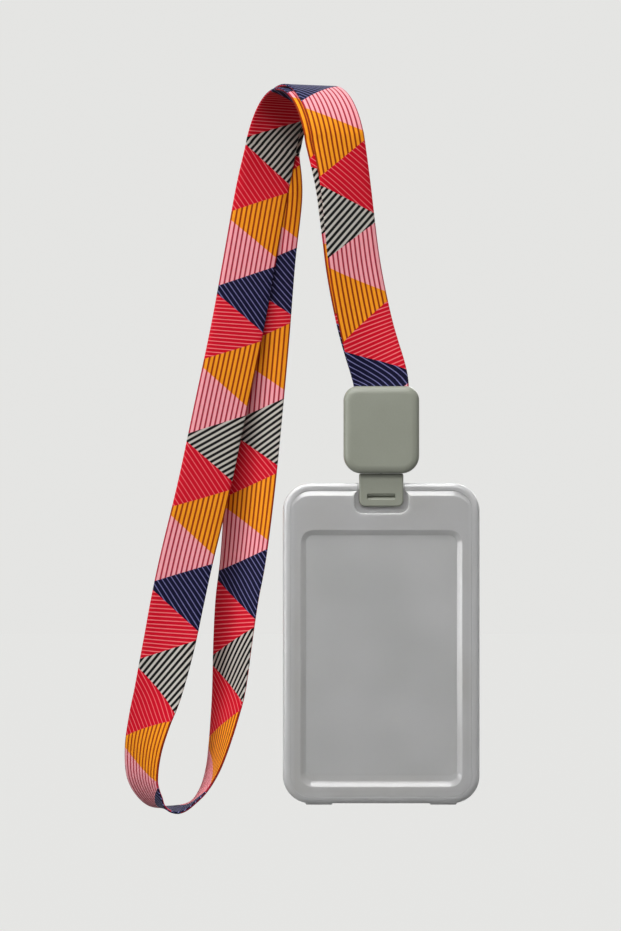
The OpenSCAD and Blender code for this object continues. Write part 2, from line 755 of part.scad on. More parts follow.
// Two thin bridges under the bottom edge join the shells. Closed, each is bent into a U round
// the line that the front shell turns on, with slanting ends
module film_hinges() {
    foot_w = film_w / 2 - (film_drop + over) * film_bevel / film_drop;
    color([0.8, 0.8, 0.8, 0.6]) for (side = [-1, 1])
        translate([reel_x + side * film_pitch / 2, part_y, case_floor])
            intersection() {
                difference() {
                    film_loop(fold_r);
                    film_loop(fold_r - film_t);
                    box([-film_w, -fold_r - over, -part_gap], [film_w, 0, over]);
                }
                rotate([90, 0, 0]) linear_extrude(2 * (fold_r + over), center = true)
                    polygon([[-film_w / 2, 0], [film_w / 2, 0], [foot_w, -film_drop - over],
                        [-foot_w, -film_drop - over]]);
            }
}

strap();
strap_pin();
reel_front_cover();
reel_rear_cover();
housing_screws();
cord_eyelet();
spool_drum();
spool_cap();
power_spring();
cord_winding();
pull_cord();
cord_ferrule();
clip_body();
clip_flap();
clip_pin();
case_tray();
case_cover();
film_hinges();
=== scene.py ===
import math

import bmesh
import bpy
import numpy as np
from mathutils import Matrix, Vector


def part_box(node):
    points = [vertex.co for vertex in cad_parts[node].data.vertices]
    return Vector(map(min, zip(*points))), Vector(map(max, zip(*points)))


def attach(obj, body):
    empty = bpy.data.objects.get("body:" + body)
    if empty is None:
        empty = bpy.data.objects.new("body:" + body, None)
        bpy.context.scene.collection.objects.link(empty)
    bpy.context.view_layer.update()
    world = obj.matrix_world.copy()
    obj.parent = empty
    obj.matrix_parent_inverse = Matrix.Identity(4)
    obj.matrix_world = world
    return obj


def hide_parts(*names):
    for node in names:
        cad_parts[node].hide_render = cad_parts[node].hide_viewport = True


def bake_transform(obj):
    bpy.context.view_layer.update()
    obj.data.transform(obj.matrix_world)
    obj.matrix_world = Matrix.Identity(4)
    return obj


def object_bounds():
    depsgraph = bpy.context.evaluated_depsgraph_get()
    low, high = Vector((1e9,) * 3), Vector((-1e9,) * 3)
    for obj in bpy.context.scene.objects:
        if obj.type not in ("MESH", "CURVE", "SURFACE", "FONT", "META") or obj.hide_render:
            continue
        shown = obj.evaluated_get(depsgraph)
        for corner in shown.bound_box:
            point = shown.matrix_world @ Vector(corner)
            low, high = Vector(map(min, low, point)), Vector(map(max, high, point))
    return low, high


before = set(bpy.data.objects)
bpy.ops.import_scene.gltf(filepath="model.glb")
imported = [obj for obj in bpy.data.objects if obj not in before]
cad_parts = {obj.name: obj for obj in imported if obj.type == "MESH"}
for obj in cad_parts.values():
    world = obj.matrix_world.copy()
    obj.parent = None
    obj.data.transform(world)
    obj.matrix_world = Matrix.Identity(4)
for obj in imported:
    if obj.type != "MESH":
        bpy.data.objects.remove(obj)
cad_low, cad_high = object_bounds()

MM = 0.001

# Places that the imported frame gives, in metres
reel_low, reel_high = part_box("reel_front_cover")
_, rear_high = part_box("reel_rear_cover")
cover_low, cover_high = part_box("case_cover")
_, tray_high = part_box("case_tray")
clip_low, clip_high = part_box("clip_body")
pin_low, pin_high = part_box("strap_pin")
spool_low, spool_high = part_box("spool_drum")
winding_low, winding_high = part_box("cord_winding")
film_low, film_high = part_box("film_hinges")
REEL_X = (reel_low.x + reel_high.x) / 2

# The same in millimetres, as all other sizes here are
MID_X = REEL_X / MM
CORD_Y = (reel_low.y + rear_high.y) / 2 / MM
SPOOL_Z = (spool_low.z + spool_high.z) / 2 / MM
STRAP_PIN_Z = (pin_low.z + pin_high.z) / 2 / MM
CASE_LEFT, CASE_RIGHT = cover_low.x / MM, cover_high.x / MM
CASE_FLOOR, CASE_TOP = cover_low.z / MM, cover_high.z / MM
CASE_FRONT, COVER_BACK = cover_low.y / MM, cover_high.y / MM
CASE_BACK = tray_high.y / MM
REEL_LEFT, REEL_RIGHT = reel_low.x / MM, reel_high.x / MM
REEL_FLOOR, REEL_TOP = reel_low.z / MM, reel_high.z / MM
REEL_FRONT, REEL_BACK = reel_low.y / MM, rear_high.y / MM
CLIP_FRONT, CLIP_FLOOR, CLIP_TOP = clip_low.y / MM, clip_low.z / MM, clip_high.z / MM


# Camera: one metre in front of the case, level, at the photograph's viewing angle
PHOTO_H = 931
PIXELS_PER_MM = 2.75
CAMERA_AWAY = 1.0
CAMERA_PLANE_Y = -18 * MM
CAMERA_X = 2.73 * MM
CAMERA_Z = -138.3 * MM
SENSOR = 36.0


def camera():
    """A long lens whose frame at the case is as tall as the photograph shows it."""
    data = bpy.data.cameras.new("camera")
    data.sensor_width = SENSOR
    data.lens = SENSOR * CAMERA_AWAY / (PHOTO_H / PIXELS_PER_MM * MM)
    data.clip_start = 0.05
    data.clip_end = 20
    eye = bpy.data.objects.new("camera", data)
    eye.location = (CAMERA_X, CAMERA_PLANE_Y - CAMERA_AWAY, CAMERA_Z)
    eye.rotation_euler = (math.radians(90), 0, 0)
    bpy.context.scene.collection.objects.link(eye)
    bpy.context.scene.camera = eye


# Outlines lie in the X-Z plane, in millimetres, and are drawn anticlockwise seen from the front
CORNER_STEPS = 10
ROLL_STEPS = 8
# How far a cut runs past the face that it opens
OVER = 1.0
# How far added parts sink into what carries them
ROOT = 0.1
# Radius of corners that are cut away or hidden
SHARP_R = 0.2
CHAMFER = 0.14


def rounded(corners):
    """Points round an outline of square corners, each given as x, z and the radius of its fillet."""
    points = []
    for i, (x, z, r) in enumerate(corners):
        here = np.array((x, z), float)
        before = here - np.array(corners[i - 1][:2])
        after = np.array(corners[(i + 1) % len(corners)][:2]) - here
        u = before / np.linalg.norm(before)
        v = after / np.linalg.norm(after)
        centre = here + r * (v - u)
        for k in range(CORNER_STEPS + 1):
            a = math.radians(90 * k / CORNER_STEPS)
            points.append(centre + r * (u * math.sin(a) - v * math.cos(a)))
    return np.array(points)


def plate(left, right, low, high, top_r, foot_r):
    """The outline of a plate with rounded corners."""
    return rounded([(left, high, top_r), (left, low, foot_r), (right, low, foot_r), (right, high, top_r)])


def mid_plate(half, low, high, top_r, foot_r):
    """The outline of a plate of half a width on either side of the case's middle."""
    return plate(MID_X - half, MID_X + half, low, high, top_r, foot_r)


def disc(x, z, r, sides=32):
    """A round outline."""
    turns = [2 * math.pi * k / sides for k in range(sides)]
    return np.array([(x - r * math.sin(a), z + r * math.cos(a)) for a in turns])


def roll(steps=ROLL_STEPS):
    """A quarter round from a face to a side: how far in and how far back, as shares of its size."""
    turns = [math.radians(90 * k / steps) for k in range(steps + 1)]
    return [(1 - math.sin(a), 1 - math.cos(a)) for a in turns]


def stack(rings):
    """Rings of points, in metres, from outlines with one place in Y, or with one for each point."""
    rows = []
    for outline, y in rings:
        depth = np.broadcast_to(np.asarray(y, float), (len(outline),))
        rows.append([(x * MM, d * MM, z * MM) for (x, z), d in zip(outline, depth)])
    return rows


def skin(bm, rings):
    """Joins rings that have the same number of points, and gives back their vertices."""
    rows = [[bm.verts.new(point) for point in ring] for ring in rings]
    for low, high in zip(rows, rows[1:]):
        for j in range(len(low)):
            m = (j + 1) % len(low)
            bm.faces.new((low[j], low[m], high[m], high[j]))
    return rows


def fill_between(bm, outer, inner):
    """A flat face with a hole in it."""
    edges = []
    for row in (outer, inner):
        for j in range(len(row)):
            pair = (row[j], row[(j + 1) % len(row)])
            edges.append(bm.edges.get(pair) or bm.edges.new(pair))
    bmesh.ops.triangle_fill(bm, use_beauty=True, use_dissolve=False, edges=edges, normal=(0, -1, 0))


def piece_from(bm, name, turn=True):
    """A piece from a mesh. Its faces are turned outwards, unless they already are."""
    if turn:
        bmesh.ops.recalc_face_normals(bm, faces=bm.faces)
    mesh = bpy.data.meshes.new(name)
    bm.to_mesh(mesh)
    bm.free()
    piece = bpy.data.objects.new(name, mesh)
    bpy.context.scene.collection.objects.link(piece)
    return piece


def closed(rings, name):
    """A closed piece from rings of points, in metres."""
    bm = bmesh.new()
    rows = skin(bm, rings)
    bm.faces.new(rows[0])
    bm.faces.new(rows[-1])
    return piece_from(bm, name)


def tapered(rings, name="tool"):
    """A closed piece from outlines and their places in Y, in millimetres."""
    return closed(stack(rings), name)


def block(outline, front, back):
    """A straight block from one outline."""
    return tapered([(outline, front), (outline, back)])


def box(low, high):
    """A plain block between two corners."""
    (left, front, foot), (right, back, top) = low, high
    return block(np.array([(left, top), (left, foot), (right, foot), (right, top)]), front, back)


def rod(start, end, radius, sides):
    """A round rod between two points."""
    run = Vector(end) - Vector(start)
    side = run.orthogonal().normalized()
    up = run.normalized().cross(side)
    turns = [2 * math.pi * k / sides for k in range(sides)]
    rings = [[(Vector(place) + radius * (math.cos(a) * side + math.sin(a) * up)) * MM for a in turns]
             for place in (start, end)]
    return closed(rings, "tool")


def axle(middle, half, y, z, radius, sides=48):
    """A round rod along X, by its middle and half of its length."""
    return rod((middle - half, y, z), (middle + half, y, z), radius, sides)


def bore(low, high, radius, sides=48):
    """A round rod that stands on the cord's line."""
    return rod((MID_X, CORD_Y, low), (MID_X, CORD_Y, high), radius, sides)


def dimple(x, z, face, wide, narrow, depth):
    """A tool for a faint round mark in a front face."""
    return tapered([(disc(x, z, wide, 24), face - 0.02), (disc(x, z, narrow, 24), face + depth)])


def carve(piece, tools, operation="DIFFERENCE"):
    """Cuts tools out of a piece, or adds them to it, and throws the tools away."""
    for tool in tools:
        step = piece.modifiers.new("carve", "BOOLEAN")
        step.object = tool
        step.operation = operation
        step.solver = "EXACT"
    bpy.context.view_layer.update()
    seen = piece.evaluated_get(bpy.context.evaluated_depsgraph_get())
    mesh = bpy.data.meshes.new_from_object(seen)
    piece.modifiers.clear()
    piece.data = mesh
    for tool in tools:
        bpy.data.objects.remove(tool)


def smooth(piece, angle=32):
    """Smooth shading with the flats kept flat and crisp edges where faces meet at more than an angle."""
    piece.data.polygons.foreach_set("use_smooth", [True] * len(piece.data.polygons))
    piece.data.set_sharp_from_angle(angle=math.radians(angle))
    weigh = piece.modifiers.new("flats", "WEIGHTED_NORMAL")
    weigh.keep_sharp = True


def clothe(piece, material):
    """Gives a piece one material."""
    piece.data.materials.clear()
    piece.data.materials.append(material)


def fit(piece, material, slot, body, *nodes):
    """Gives a piece its material, the body that it rides on and the nodes that it stands for. The slot is not
    used.
    """
    clothe(piece, material)
    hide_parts(*nodes)
    if body:
        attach(piece, body)


# Strap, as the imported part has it: sizes in millimetres and shares of its two falls
STRAP_W = 20.0
STRAP_T = 1.0
PLY_GAP = 0.5
BAR_R = 21.0
LOOP_FALL = 268.4
REEL_FALL = 109.6
REEL_AXIS_X = 28.4
STRAP_PIN_R = 1.0
STRAP_PIN_DROP = 3.4
RUN_GAP = 0.06
BAR_TURN = 17
WRAP_SLANT = 9
PLY_SLIP = 2.2
BAR_STEP = 10
PIN_STEP = 20
LEG_SHARES = [
    (0.17, 0.163, 0.60, 23), (0.38, 0.300, 0.35, 21), (0.51, 0.392, 0.30, 18), (0.64, 0.520, 0.25, 15),
    (0.76, 0.663, 0.15, 11), (0.85, 0.800, 0.08, 7), (0.92, 0.915, 0.04, 3), (0.98, 0.990, 0, 0)]
LOOP_SHARES = [
    (0.135, -0.059, -0.038, 0, 10, 9), (0.225, -0.075, -0.048, 0.004, 10, 5),
    (0.325, -0.093, -0.056, 0.011, 9, 2), (0.440, -0.117, -0.066, 0.019, 9, -8),
    (0.545, -0.139, -0.075, 0.024, 7, -18), (0.645, -0.163, -0.085, 0.028, 3, -29),
    (0.705, -0.176, -0.094, 0.028, -2, -35), (0.765, -0.188, -0.100, 0.026, -11, -42),
    (0.830, -0.203, -0.105, 0.021, -24, -50), (0.870, -0.215, -0.111, 0.015, -35, -58),
    (0.915, -0.225, -0.120, 0.009, -44, -68)]
FOOT_SHARES = [
    (0.947, -0.129, 0.0056, -76), (0.974, -0.142, 0.0038, -84), (0.993, -0.160, 0.0015, -90),
    (0.999, -0.183, -0.0010, -78), (0.989, -0.207, -0.0035, -60), (0.958, -0.225, -0.0056, -52)]
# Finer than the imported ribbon, for a smooth outline
RINGS_PER_ROW = 12
RINGS_PER_BEND = 6
# The tail is the stretch round the pin and some rows of each run above it.
PIN_ROWS = 180 // PIN_STEP + 1
TAIL_ROWS = 4


def turned(angle):
    """The level direction at an angle from +X."""
    a = math.radians(angle)
    return np.array([math.cos(a), math.sin(a), 0])


def facing(angle):
    """The level direction that a strap so turned faces, to the front."""
    a = math.radians(angle)
    return np.array([math.sin(a), -math.cos(a), 0])


bar_dir = turned(BAR_TURN)
front_dir = facing(BAR_TURN)
up_dir = np.array([0, 0, 1.0])
ply_pitch = STRAP_T + PLY_GAP
inner_r = BAR_R + STRAP_T / 2
outer_r = inner_r + ply_pitch
pair_r = (inner_r + outer_r) / 2
wrap_run = math.pi * pair_r * math.tan(math.radians(WRAP_SLANT))
bar_mid = np.array([0, 0, -BAR_R])
leg_top = bar_mid + pair_r * front_dir + wrap_run / 2 * bar_dir
back_top = bar_mid - pair_r * front_dir - wrap_run / 2 * bar_dir


def over_bar(radius, slip, angle):
    """A run over the bar, at an angle from the front."""
    a = math.radians(angle)
    along = wrap_run / 2 * (1 - angle / 90) + slip
    return bar_mid + radius * (math.cos(a) * front_dir + math.sin(a) * up_dir) + along * bar_dir


def leg_row(share, side):
    """Front leg: side is 1 for the outer run, in front, and -1 for the inner run."""
    down, across, slip, turn = share
    x = leg_top[0] + across * (REEL_AXIS_X - leg_top[0])
    place = np.array([x, leg_top[1], -BAR_R - down * (REEL_FALL - BAR_R)])
    place = place + side * ply_pitch / 2 * facing(turn) + side * PLY_SLIP / 2 * slip * turned(turn)
    return [*place, turn, RINGS_PER_ROW]


def loop_row(share, side):
    """Neck loop: side is 1 for the rear run and -1 for the front run."""
    down, front, rear, apart, front_turn, rear_turn = share
    across, turn = (rear, rear_turn) if side > 0 else (front, front_turn)
    y = back_top[1] + side * (ply_pitch + apart * LOOP_FALL) / 2
    return [across * LOOP_FALL, y, -down * LOOP_FALL, turn, RINGS_PER_ROW]


def foot_row(share):
    """Foot of the loop, from the rear run to the front run."""
    down, across, back, turn = share
    return [across * LOOP_FALL, back_top[1] + back * LOOP_FALL, -down * LOOP_FALL, turn, RINGS_PER_ROW]


def pin_row(angle):
    """Round the pin in the reel, from the rear at 0 to the front at 180."""
    a = math.radians(angle)
    path_r = STRAP_PIN_R + RUN_GAP + STRAP_T / 2
    z = -REEL_FALL - STRAP_PIN_DROP - path_r * math.sin(a)
    return [REEL_AXIS_X, leg_top[1] + path_r * math.cos(a), z, 0, RINGS_PER_BEND]


def bar_rows(radius, slip, angles):
    """One run over the bar. The last row reaches on to the leg."""
    rows = [[*over_bar(radius, slip, a), BAR_TURN, RINGS_PER_BEND] for a in angles]
    rows[-1][4] = RINGS_PER_ROW
    return rows


def strap_rows():
    """The closed route: up the front leg, over the bar, round the neck loop and back to the pin."""
    up = list(range(0, 181, BAR_STEP))
    rows = [leg_row(s, 1) for s in reversed(LEG_SHARES)]
    rows += bar_rows(outer_r, PLY_SLIP / 2, up)
    rows += [loop_row(s, 1) for s in LOOP_SHARES]
    rows += [foot_row(s) for s in FOOT_SHARES]
    rows += [loop_row(s, -1) for s in reversed(LOOP_SHARES)]
    rows += bar_rows(inner_r, -PLY_SLIP / 2, up[::-1])
    rows += [leg_row(s, -1) for s in LEG_SHARES]
    rows += [pin_row(a) for a in range(0, 181, PIN_STEP)]
    rows[-1][4] = RINGS_PER_ROW
    return rows


def glide(a, b, c, d, t):
    """A smooth curve through the rows, at share t of the way from b to c."""
    return (2 * b + (c - a) * t + (2 * a - 5 * b + 4 * c - d) * t ** 2
            + (3 * b - a - 3 * c + d) * t ** 3) / 2


def strap_rings():
    """Centre, width direction, outward direction and distance along, for every ring of the strap."""
    rows = [np.array(r, float) for r in strap_rows()]
    count = len(rows)
    path = []
    for i in range(count):
        a, b, c, d = rows[i - 1], rows[i], rows[(i + 1) % count], rows[(i + 2) % count]
        steps = int(b[4])
        path += [glide(a, b, c, d, k / steps)[:4] for k in range(steps)]
    path = np.array(path)
    centre = path[:, :3]
    run = np.roll(centre, -1, 0) - np.roll(centre, 1, 0)
    run /= np.linalg.norm(run, axis=1)[:, None]
    lean = np.array([turned(a) for a in path[:, 3]])
    wide = lean - (lean * run).sum(1)[:, None] * run
    wide /= np.linalg.norm(wide, axis=1)[:, None]
    out = np.cross(wide, run)
    step = np.linalg.norm(np.roll(centre, -1, 0) - centre, axis=1)
    along = np.concatenate([[0], np.cumsum(step)[:-1]])
    return centre, wide, out, along, step.sum()


# The webbing's section: flat faces and rounded selvedges
WEB_T = 0.9
EDGE_R = 0.42
FACE_STEPS = 8
EDGE_STEPS = 4
SELVEDGE_ANGLE = 60
# Slow ripples along the webbing: height, length for one radian, and start
RIPPLES = ((0.06, 23, 0), (0.04, 9.1, 1))
# The print is sewn up from two lengths that meet at the loop's lowest point. Each row is a distance
# from there and the number of pairs of triangles up to it
FAR_MARKS = ((0, 0), (91, 3), (262, 9), (832, 29))
NEAR_MARKS = ((0, 0), (95, 3), (209, 7), (417, 14), (892, 30))


def pairs(distance, marks):
    """How many pairs of triangles the print has up to a distance."""
    return float(np.interp(distance, [m[0] for m in marks], [m[1] for m in marks]))


def web_section():
    """Points (across, out) round the webbing: the outer face, one edge, the inner face, the other edge."""
    half_t = WEB_T / 2
    flat = STRAP_W / 2 - EDGE_R
    points = []
    for side in (1, -1):
        points += [(side * (-flat + 2 * flat * k / FACE_STEPS), side * half_t) for k in range(FACE_STEPS + 1)]
        for k in range(1, EDGE_STEPS):
            a = math.pi * (side * 0.5 - k / EDGE_STEPS)
            points.append((side * flat + EDGE_R * math.cos(a), half_t * math.sin(a)))
    return np.array(points)


def webbing(name, first, last, rings, middle):
    """One stretch of the strap, with its print's coordinates in millimetres as a UV map."""
    centre, wide, out, along, total = rings
    count = len(centre)
    # The route starts above the reel, so the stretch from the pin up to there counts back from its start
    near_pin = range(count - PIN_ROWS * RINGS_PER_BEND - 2 * RINGS_PER_ROW, count)
    under_pin = min(near_pin, key=lambda i: centre[i][2])
    along = np.where(np.arange(count) > under_pin, along - total, along)
    section = web_section()
    around = len(section)
    picked = [i % count for i in range(first, last + 1)]
    ribbon = []
    for i in picked:
        ripple = sum(height * math.sin(along[i] / length + start) for height, length, start in RIPPLES)
        ribbon.append([(centre[i] + x * wide[i] + (y + ripple) * out[i]) * MM for x, y in section])
    bm = bmesh.new()
    print_map = bm.loops.layers.uv.new("print")
    verts = skin(bm, ribbon)
    for number, face in enumerate(bm.faces):
        face.smooth = True
        k, j = divmod(number, around)
        m = (j + 1) % around
        s0 = along[picked[k]]
        s1 = s0 + np.linalg.norm(centre[picked[k + 1]] - centre[picked[k]])
        far_half = (s0 + s1) / 2 > middle
        outer = j < FACE_STEPS + EDGE_STEPS // 2 or j >= around - EDGE_STEPS // 2
        side = 1 if outer == far_half else -1
        way, marks = (1, FAR_MARKS) if far_half else (-1, NEAR_MARKS)
        for loop, (s, c) in zip(face.loops, ((s0, j), (s0, m), (s1, m), (s1, j))):
            loop[print_map].uv = (side * section[c][0], PAIR * pairs(way * (s - middle), marks))
    bm.faces.new(verts[0][::-1])
    bm.faces.new(verts[-1])
    bm.normal_update()
    piece = piece_from(bm, name, turn=False)
    piece.data.set_sharp_from_angle(angle=math.radians(SELVEDGE_ANGLE))
    return piece


def make_strap():
    """The strap in two stretches: the neck loop, and the tail that turns round the pin in the reel."""
    rings = strap_rings()
    centre, _, _, along, total = rings
    count = len(centre)
    tail = TAIL_ROWS * RINGS_PER_ROW
    lowest = min(range(count), key=lambda i: centre[i][2])
    cut_ring = count - sum(int(row[4]) for row in strap_rows()[-PIN_ROWS - TAIL_ROWS:])
    web = printed_webbing()
    neck = webbing("neck_strap", tail, cut_ring, rings, along[lowest])
    end = webbing("strap_tail", cut_ring, count + tail, rings, along[lowest])
    for piece in (neck, end):
        clothe(piece, web)
        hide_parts("strap")
    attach(neck, "strap")
    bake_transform(end)


# Materials
def linear(hex_colour):
    """An sRGB hex colour as linear light, with full alpha."""
    parts = [int(hex_colour[i:i + 2], 16) / 255 for i in (0, 2, 4)]
    return tuple(c / 12.92 if c <= 0.04045 else ((c + 0.055) / 1.055) ** 2.4 for c in parts) + (1.0,)


def feed(tree, socket, value):
    """Gives a socket a value, or links it to another node's output."""
    if isinstance(value, bpy.types.NodeSocket):
        tree.links.new(value, socket)
    elif value is not None:
        socket.default_value = value


def add(tree, kind, *values, **settings):
    """Adds a node and gives its output. values feed its open inputs in order, and None leaves one out."""
    node = tree.nodes.new("ShaderNode" + kind)
    for key, value in settings.items():
        setattr(node, key, value)
    for socket, value in zip([s for s in node.inputs if s.enabled], values):
        feed(tree, socket, value)
    return [s for s in node.outputs if s.enabled][0]


def join(tree, **sockets):
    """Feeds the shader's sockets by name, with _ for a space."""
    shader = tree.nodes["Principled BSDF"]
    for key, value in sockets.items():
        feed(tree, shader.inputs[key.replace("_", " ")], value)


def surface(name, colour, roughness, metallic=0.0, ior=1.5, **sockets):
    """A new material with one principled shader, and its node tree."""
    material = bpy.data.materials.new(name)
    material.use_nodes = True
    tree = material.node_tree
    join(tree, Base_Color=linear(colour), Roughness=roughness, Metallic=metallic, IOR=ior, **sockets)
    return material, tree


def places(tree):
    """Places on the object itself, in metres."""
    return add(tree, "TexCoord").node.outputs["Object"]


def spots(tree, size, detail=2.0, place=None):
    """Soft spots of about a size in millimetres, most of them within SPAN."""
    return add(tree, "TexNoise", place or places(tree), 1 / (size * MM), detail)


SPAN = (0.3, 0.7)

# Print on the webbing: pairs of striped triangles, sizes in millimetres
PAIR = 30.0
# Length of a triangle's blunt tip, as a share of the pair
TIP_SHARE = 0.11
PRINT_CYCLE = 7
# Fills: the lines' angle from straight across, their spacing and the share that they cover, then the
# colours of the ground and of the lines
FILLS = {
    "navy": (-46, 1.72, 0.17, "040426", "7c7cb0"),
    "red_slant": (-46, 1.72, 0.17, "d40424", "f0767c"),
    "red_cross": (8, 1.48, 0.26, "d40424", "f0767c"),
    "orange": (90, 1.78, 0.38, "ffa01e", "942e06"),
    "pink": (90, 1.78, 0.38, "fcaeb6", "b0283c"),
    "bone": (42, 1.9, 0.54, "cac4bc", "0c0a0a"),
    "steep_bone": (62, 1.9, 0.54, "cac4bc", "0c0a0a")}
LINE_BLUR = 0.05
# The first triangle of each pair is orange and the second is pink, but for these in the cycle
FIRST_TRIANGLES = ((0, "navy"), (2, "steep_bone"), (3, "navy"), (5, "bone"))
SECOND_TRIANGLES = ((1, "red_slant"), (2, "red_cross"), (4, "red_slant"), (6, "red_cross"))
# Whole cycles and lines added so that every count is above zero
MORE_PAIRS = 60.0 * PRINT_CYCLE
MORE_LINES = 500.0
# Ribs and picks of the weave are about 0.3 mm apart and are drawn coarser, so that they show
RIB_PITCH = 0.5
PICK_PITCH = 0.6


def printed_webbing():
    """Woven polyester printed by heat: matt strong colours, a fine rib, and a faint sheen at a slant."""
    material, tree = surface("printed_polyester_webbing", FILLS["red_slant"][3], 0.7, ior=1.45,
                             Specular_IOR_Level=0.15, Sheen_Weight=0.04, Sheen_Roughness=0.4)
    across, along, _ = add(tree, "SeparateXYZ", add(tree, "UVMap", uv_map="print")).node.outputs

    def stripes(angle, pitch, cover, ground, line):
        """One fill, with lines that rise to the right at an angle from straight across."""
        a = math.radians(angle)
        level = add(tree, "Math", across, -math.sin(a) / pitch, operation="MULTIPLY")
        count = add(tree, "Math", along, math.cos(a) / pitch, level, operation="MULTIPLY_ADD")
        count = add(tree, "Math", count, MORE_LINES, operation="ADD")
        off = add(tree, "Math", add(tree, "Math", count, operation="FRACT"), 0.5, operation="SUBTRACT")
        off = add(tree, "Math", off, operation="ABSOLUTE")
        edge = cover / 2
        on_line = add(tree, "MapRange", off, edge - LINE_BLUR, edge + LINE_BLUR, 1.0, 0.0)
        return add(tree, "Mix", on_line, linear(ground), linear(line), data_type="RGBA")

    # Share of the way across, from the narrow end to the wide end of the first kind of triangle
    share = add(tree, "Math", across, STRAP_W / 2, operation="ADD")
    share = add(tree, "Math", share, STRAP_W, operation="DIVIDE")
    # Place in the pair, from the middle of the first kind of triangle
    cell = add(tree, "Math", along, PAIR, operation="DIVIDE")
    nearest = add(tree, "Math", cell, operation="ROUND")
    off = add(tree, "Math", add(tree, "Math", cell, nearest, operation="SUBTRACT"), operation="ABSOLUTE")
    half = add(tree, "Math", share, 0.5 - TIP_SHARE, TIP_SHARE / 2, operation="MULTIPLY_ADD")
    is_first = add(tree, "Math", off, half, operation="LESS_THAN")
    below = add(tree, "Math", cell, operation="FLOOR")
    fills = {name: stripes(*fill) for name, fill in FILLS.items()}
    kinds = []
    for plain, others, pair in (("orange", FIRST_TRIANGLES, nearest), ("pink", SECOND_TRIANGLES, below)):
        turn = add(tree, "Math", pair, MORE_PAIRS, operation="ADD")
        turn = add(tree, "Math", turn, float(PRINT_CYCLE), operation="MODULO")
        colour = fills[plain]
        for number, other in others:
            here = add(tree, "Math", turn, float(number), 0.25, operation="COMPARE")
            colour = add(tree, "Mix", here, colour, fills[other], data_type="RGBA")
        kinds.append(colour)
    rib = add(tree, "Math", across, 2 * math.pi / RIB_PITCH, operation="MULTIPLY")
    pick = add(tree, "Math", along, 2 * math.pi / PICK_PITCH, operation="MULTIPLY")
    weave = add(tree, "Math", add(tree, "Math", rib, operation="SINE"),
                add(tree, "Math", pick, operation="SINE"), operation="MULTIPLY")
    join(tree, Base_Color=add(tree, "Mix", is_first, kinds[1], kinds[0], data_type="RGBA"),
         Normal=add(tree, "Bump", 0.35, 0.1 * MM, None, weave))
    return material


def moulded_abs():
    """ABS from a spark-eroded mould: an even fine grain that spreads the shine, paler where it is handled."""
    sage, worn = "8c8f82", "96998d"
    material, tree = surface("sage_grey_abs", sage, 0.4, ior=1.53)
    # The grain is about 0.1 mm and is drawn at 0.7 mm, so that it shows
    grain = spots(tree, 0.7, 3.0)
    patches = spots(tree, 11.0)
    handled = add(tree, "MapRange", patches, *SPAN, 0.0, 0.45)
    flecks = add(tree, "MapRange", grain, *SPAN, 0.0, 0.25)
    tone = add(tree, "Mix", handled, linear(sage), linear(worn), data_type="RGBA")
    tone = add(tree, "Mix", flecks, tone, linear(worn), data_type="RGBA")
    join(tree, Base_Color=tone, Roughness=add(tree, "MapRange", patches, *SPAN, 0.34, 0.44),
         Normal=add(tree, "Bump", 0.25, 0.04 * MM, None, grain))
    return material


# Milky polypropylene: the plain border and the window, each with its cloudy patches, and the thick rims,
# painted paler as a glow
MILK = ("cdcdcf", "c0bfbc")
MILK_WINDOW = ("d2d2d2", "c6c7c6")
# Colour of the rims, with painted glow
PAINTED_RIM_GLOW = "e0e1e2"
# Width of the rims' painted glow, and where the sunk window's tone begins and is whole, inwards from the
# case's sides
RIM_FADE = 4.5
WINDOW_FADE = (7.2, 8.6)


def frosted_polypropylene():
    """Polypropylene moulded milky: light sinks in and scatters, rims glow, partly by a painted paleness, and
    what lies behind is a blur.
    """
    material, tree = surface(
        "frosted_polypropylene", MILK[0], 0.32, ior=1.49, Transmission_Weight=0.12, Subsurface_Weight=0.9,
        Subsurface_Radius=(1, 1, 1), Subsurface_Scale=0.006, Coat_Weight=1.0, Coat_Roughness=0.11)
    along_x, _, along_z = add(tree, "SeparateXYZ", places(tree)).node.outputs
    x = add(tree, "Math", along_x, MM, operation="DIVIDE")
    z = add(tree, "Math", along_z, MM, operation="DIVIDE")
    inwards = []
    for place, middle, half in ((x, MID_X, (CASE_RIGHT - CASE_LEFT) / 2),
                                (z, (CASE_TOP + CASE_FLOOR) / 2, (CASE_TOP - CASE_FLOOR) / 2)):
        off = add(tree, "Math", place, middle, operation="SUBTRACT")
        off = add(tree, "Math", off, operation="ABSOLUTE")
        inwards.append(add(tree, "Math", half, off, operation="SUBTRACT"))
    # The rims are painted paler: partly the milkier look of the thicker plastic there, partly a painted glow
    # of light scattered through it. The sunk window has tones of its own
    from_rim = add(tree, "Math", *inwards, 3.0, operation="SMOOTH_MIN")
    rim = add(tree, "MapRange", from_rim, 0.0, RIM_FADE, 1.0, 0.0)
    top = CASE_TOP - BROW_H
    low = top - WINDOW_SLOPE - WINDOW_H
    window = add(tree, "Math", add(tree, "MapRange", z, top, top - 2.0, 0.0, 1.0),
                 add(tree, "MapRange", z, low - 1.0, low + 1.0, 0.0, 1.0), operation="MULTIPLY")
    window = add(tree, "Math", add(tree, "MapRange", inwards[0], *WINDOW_FADE, 0.0, 1.0), window,
                 operation="MULTIPLY")
    clouds = add(tree, "MapRange", spots(tree, 30.0, 1.0), *SPAN, 0.0, 1.0)
    border, sunk = [add(tree, "Mix", clouds, linear(pale), linear(dull), data_type="RGBA")
                    for pale, dull in (MILK, MILK_WINDOW)]
    tone = add(tree, "Mix", window, border, sunk, data_type="RGBA")
    # Slow ripples of the cooled sheet
    join(tree, Base_Color=add(tree, "Mix", rim, tone, linear(PAINTED_RIM_GLOW), data_type="RGBA"),
         Normal=add(tree, "Bump", 0.35, 0.4 * MM, None, spots(tree, 18.0, 1.0)))
    return material


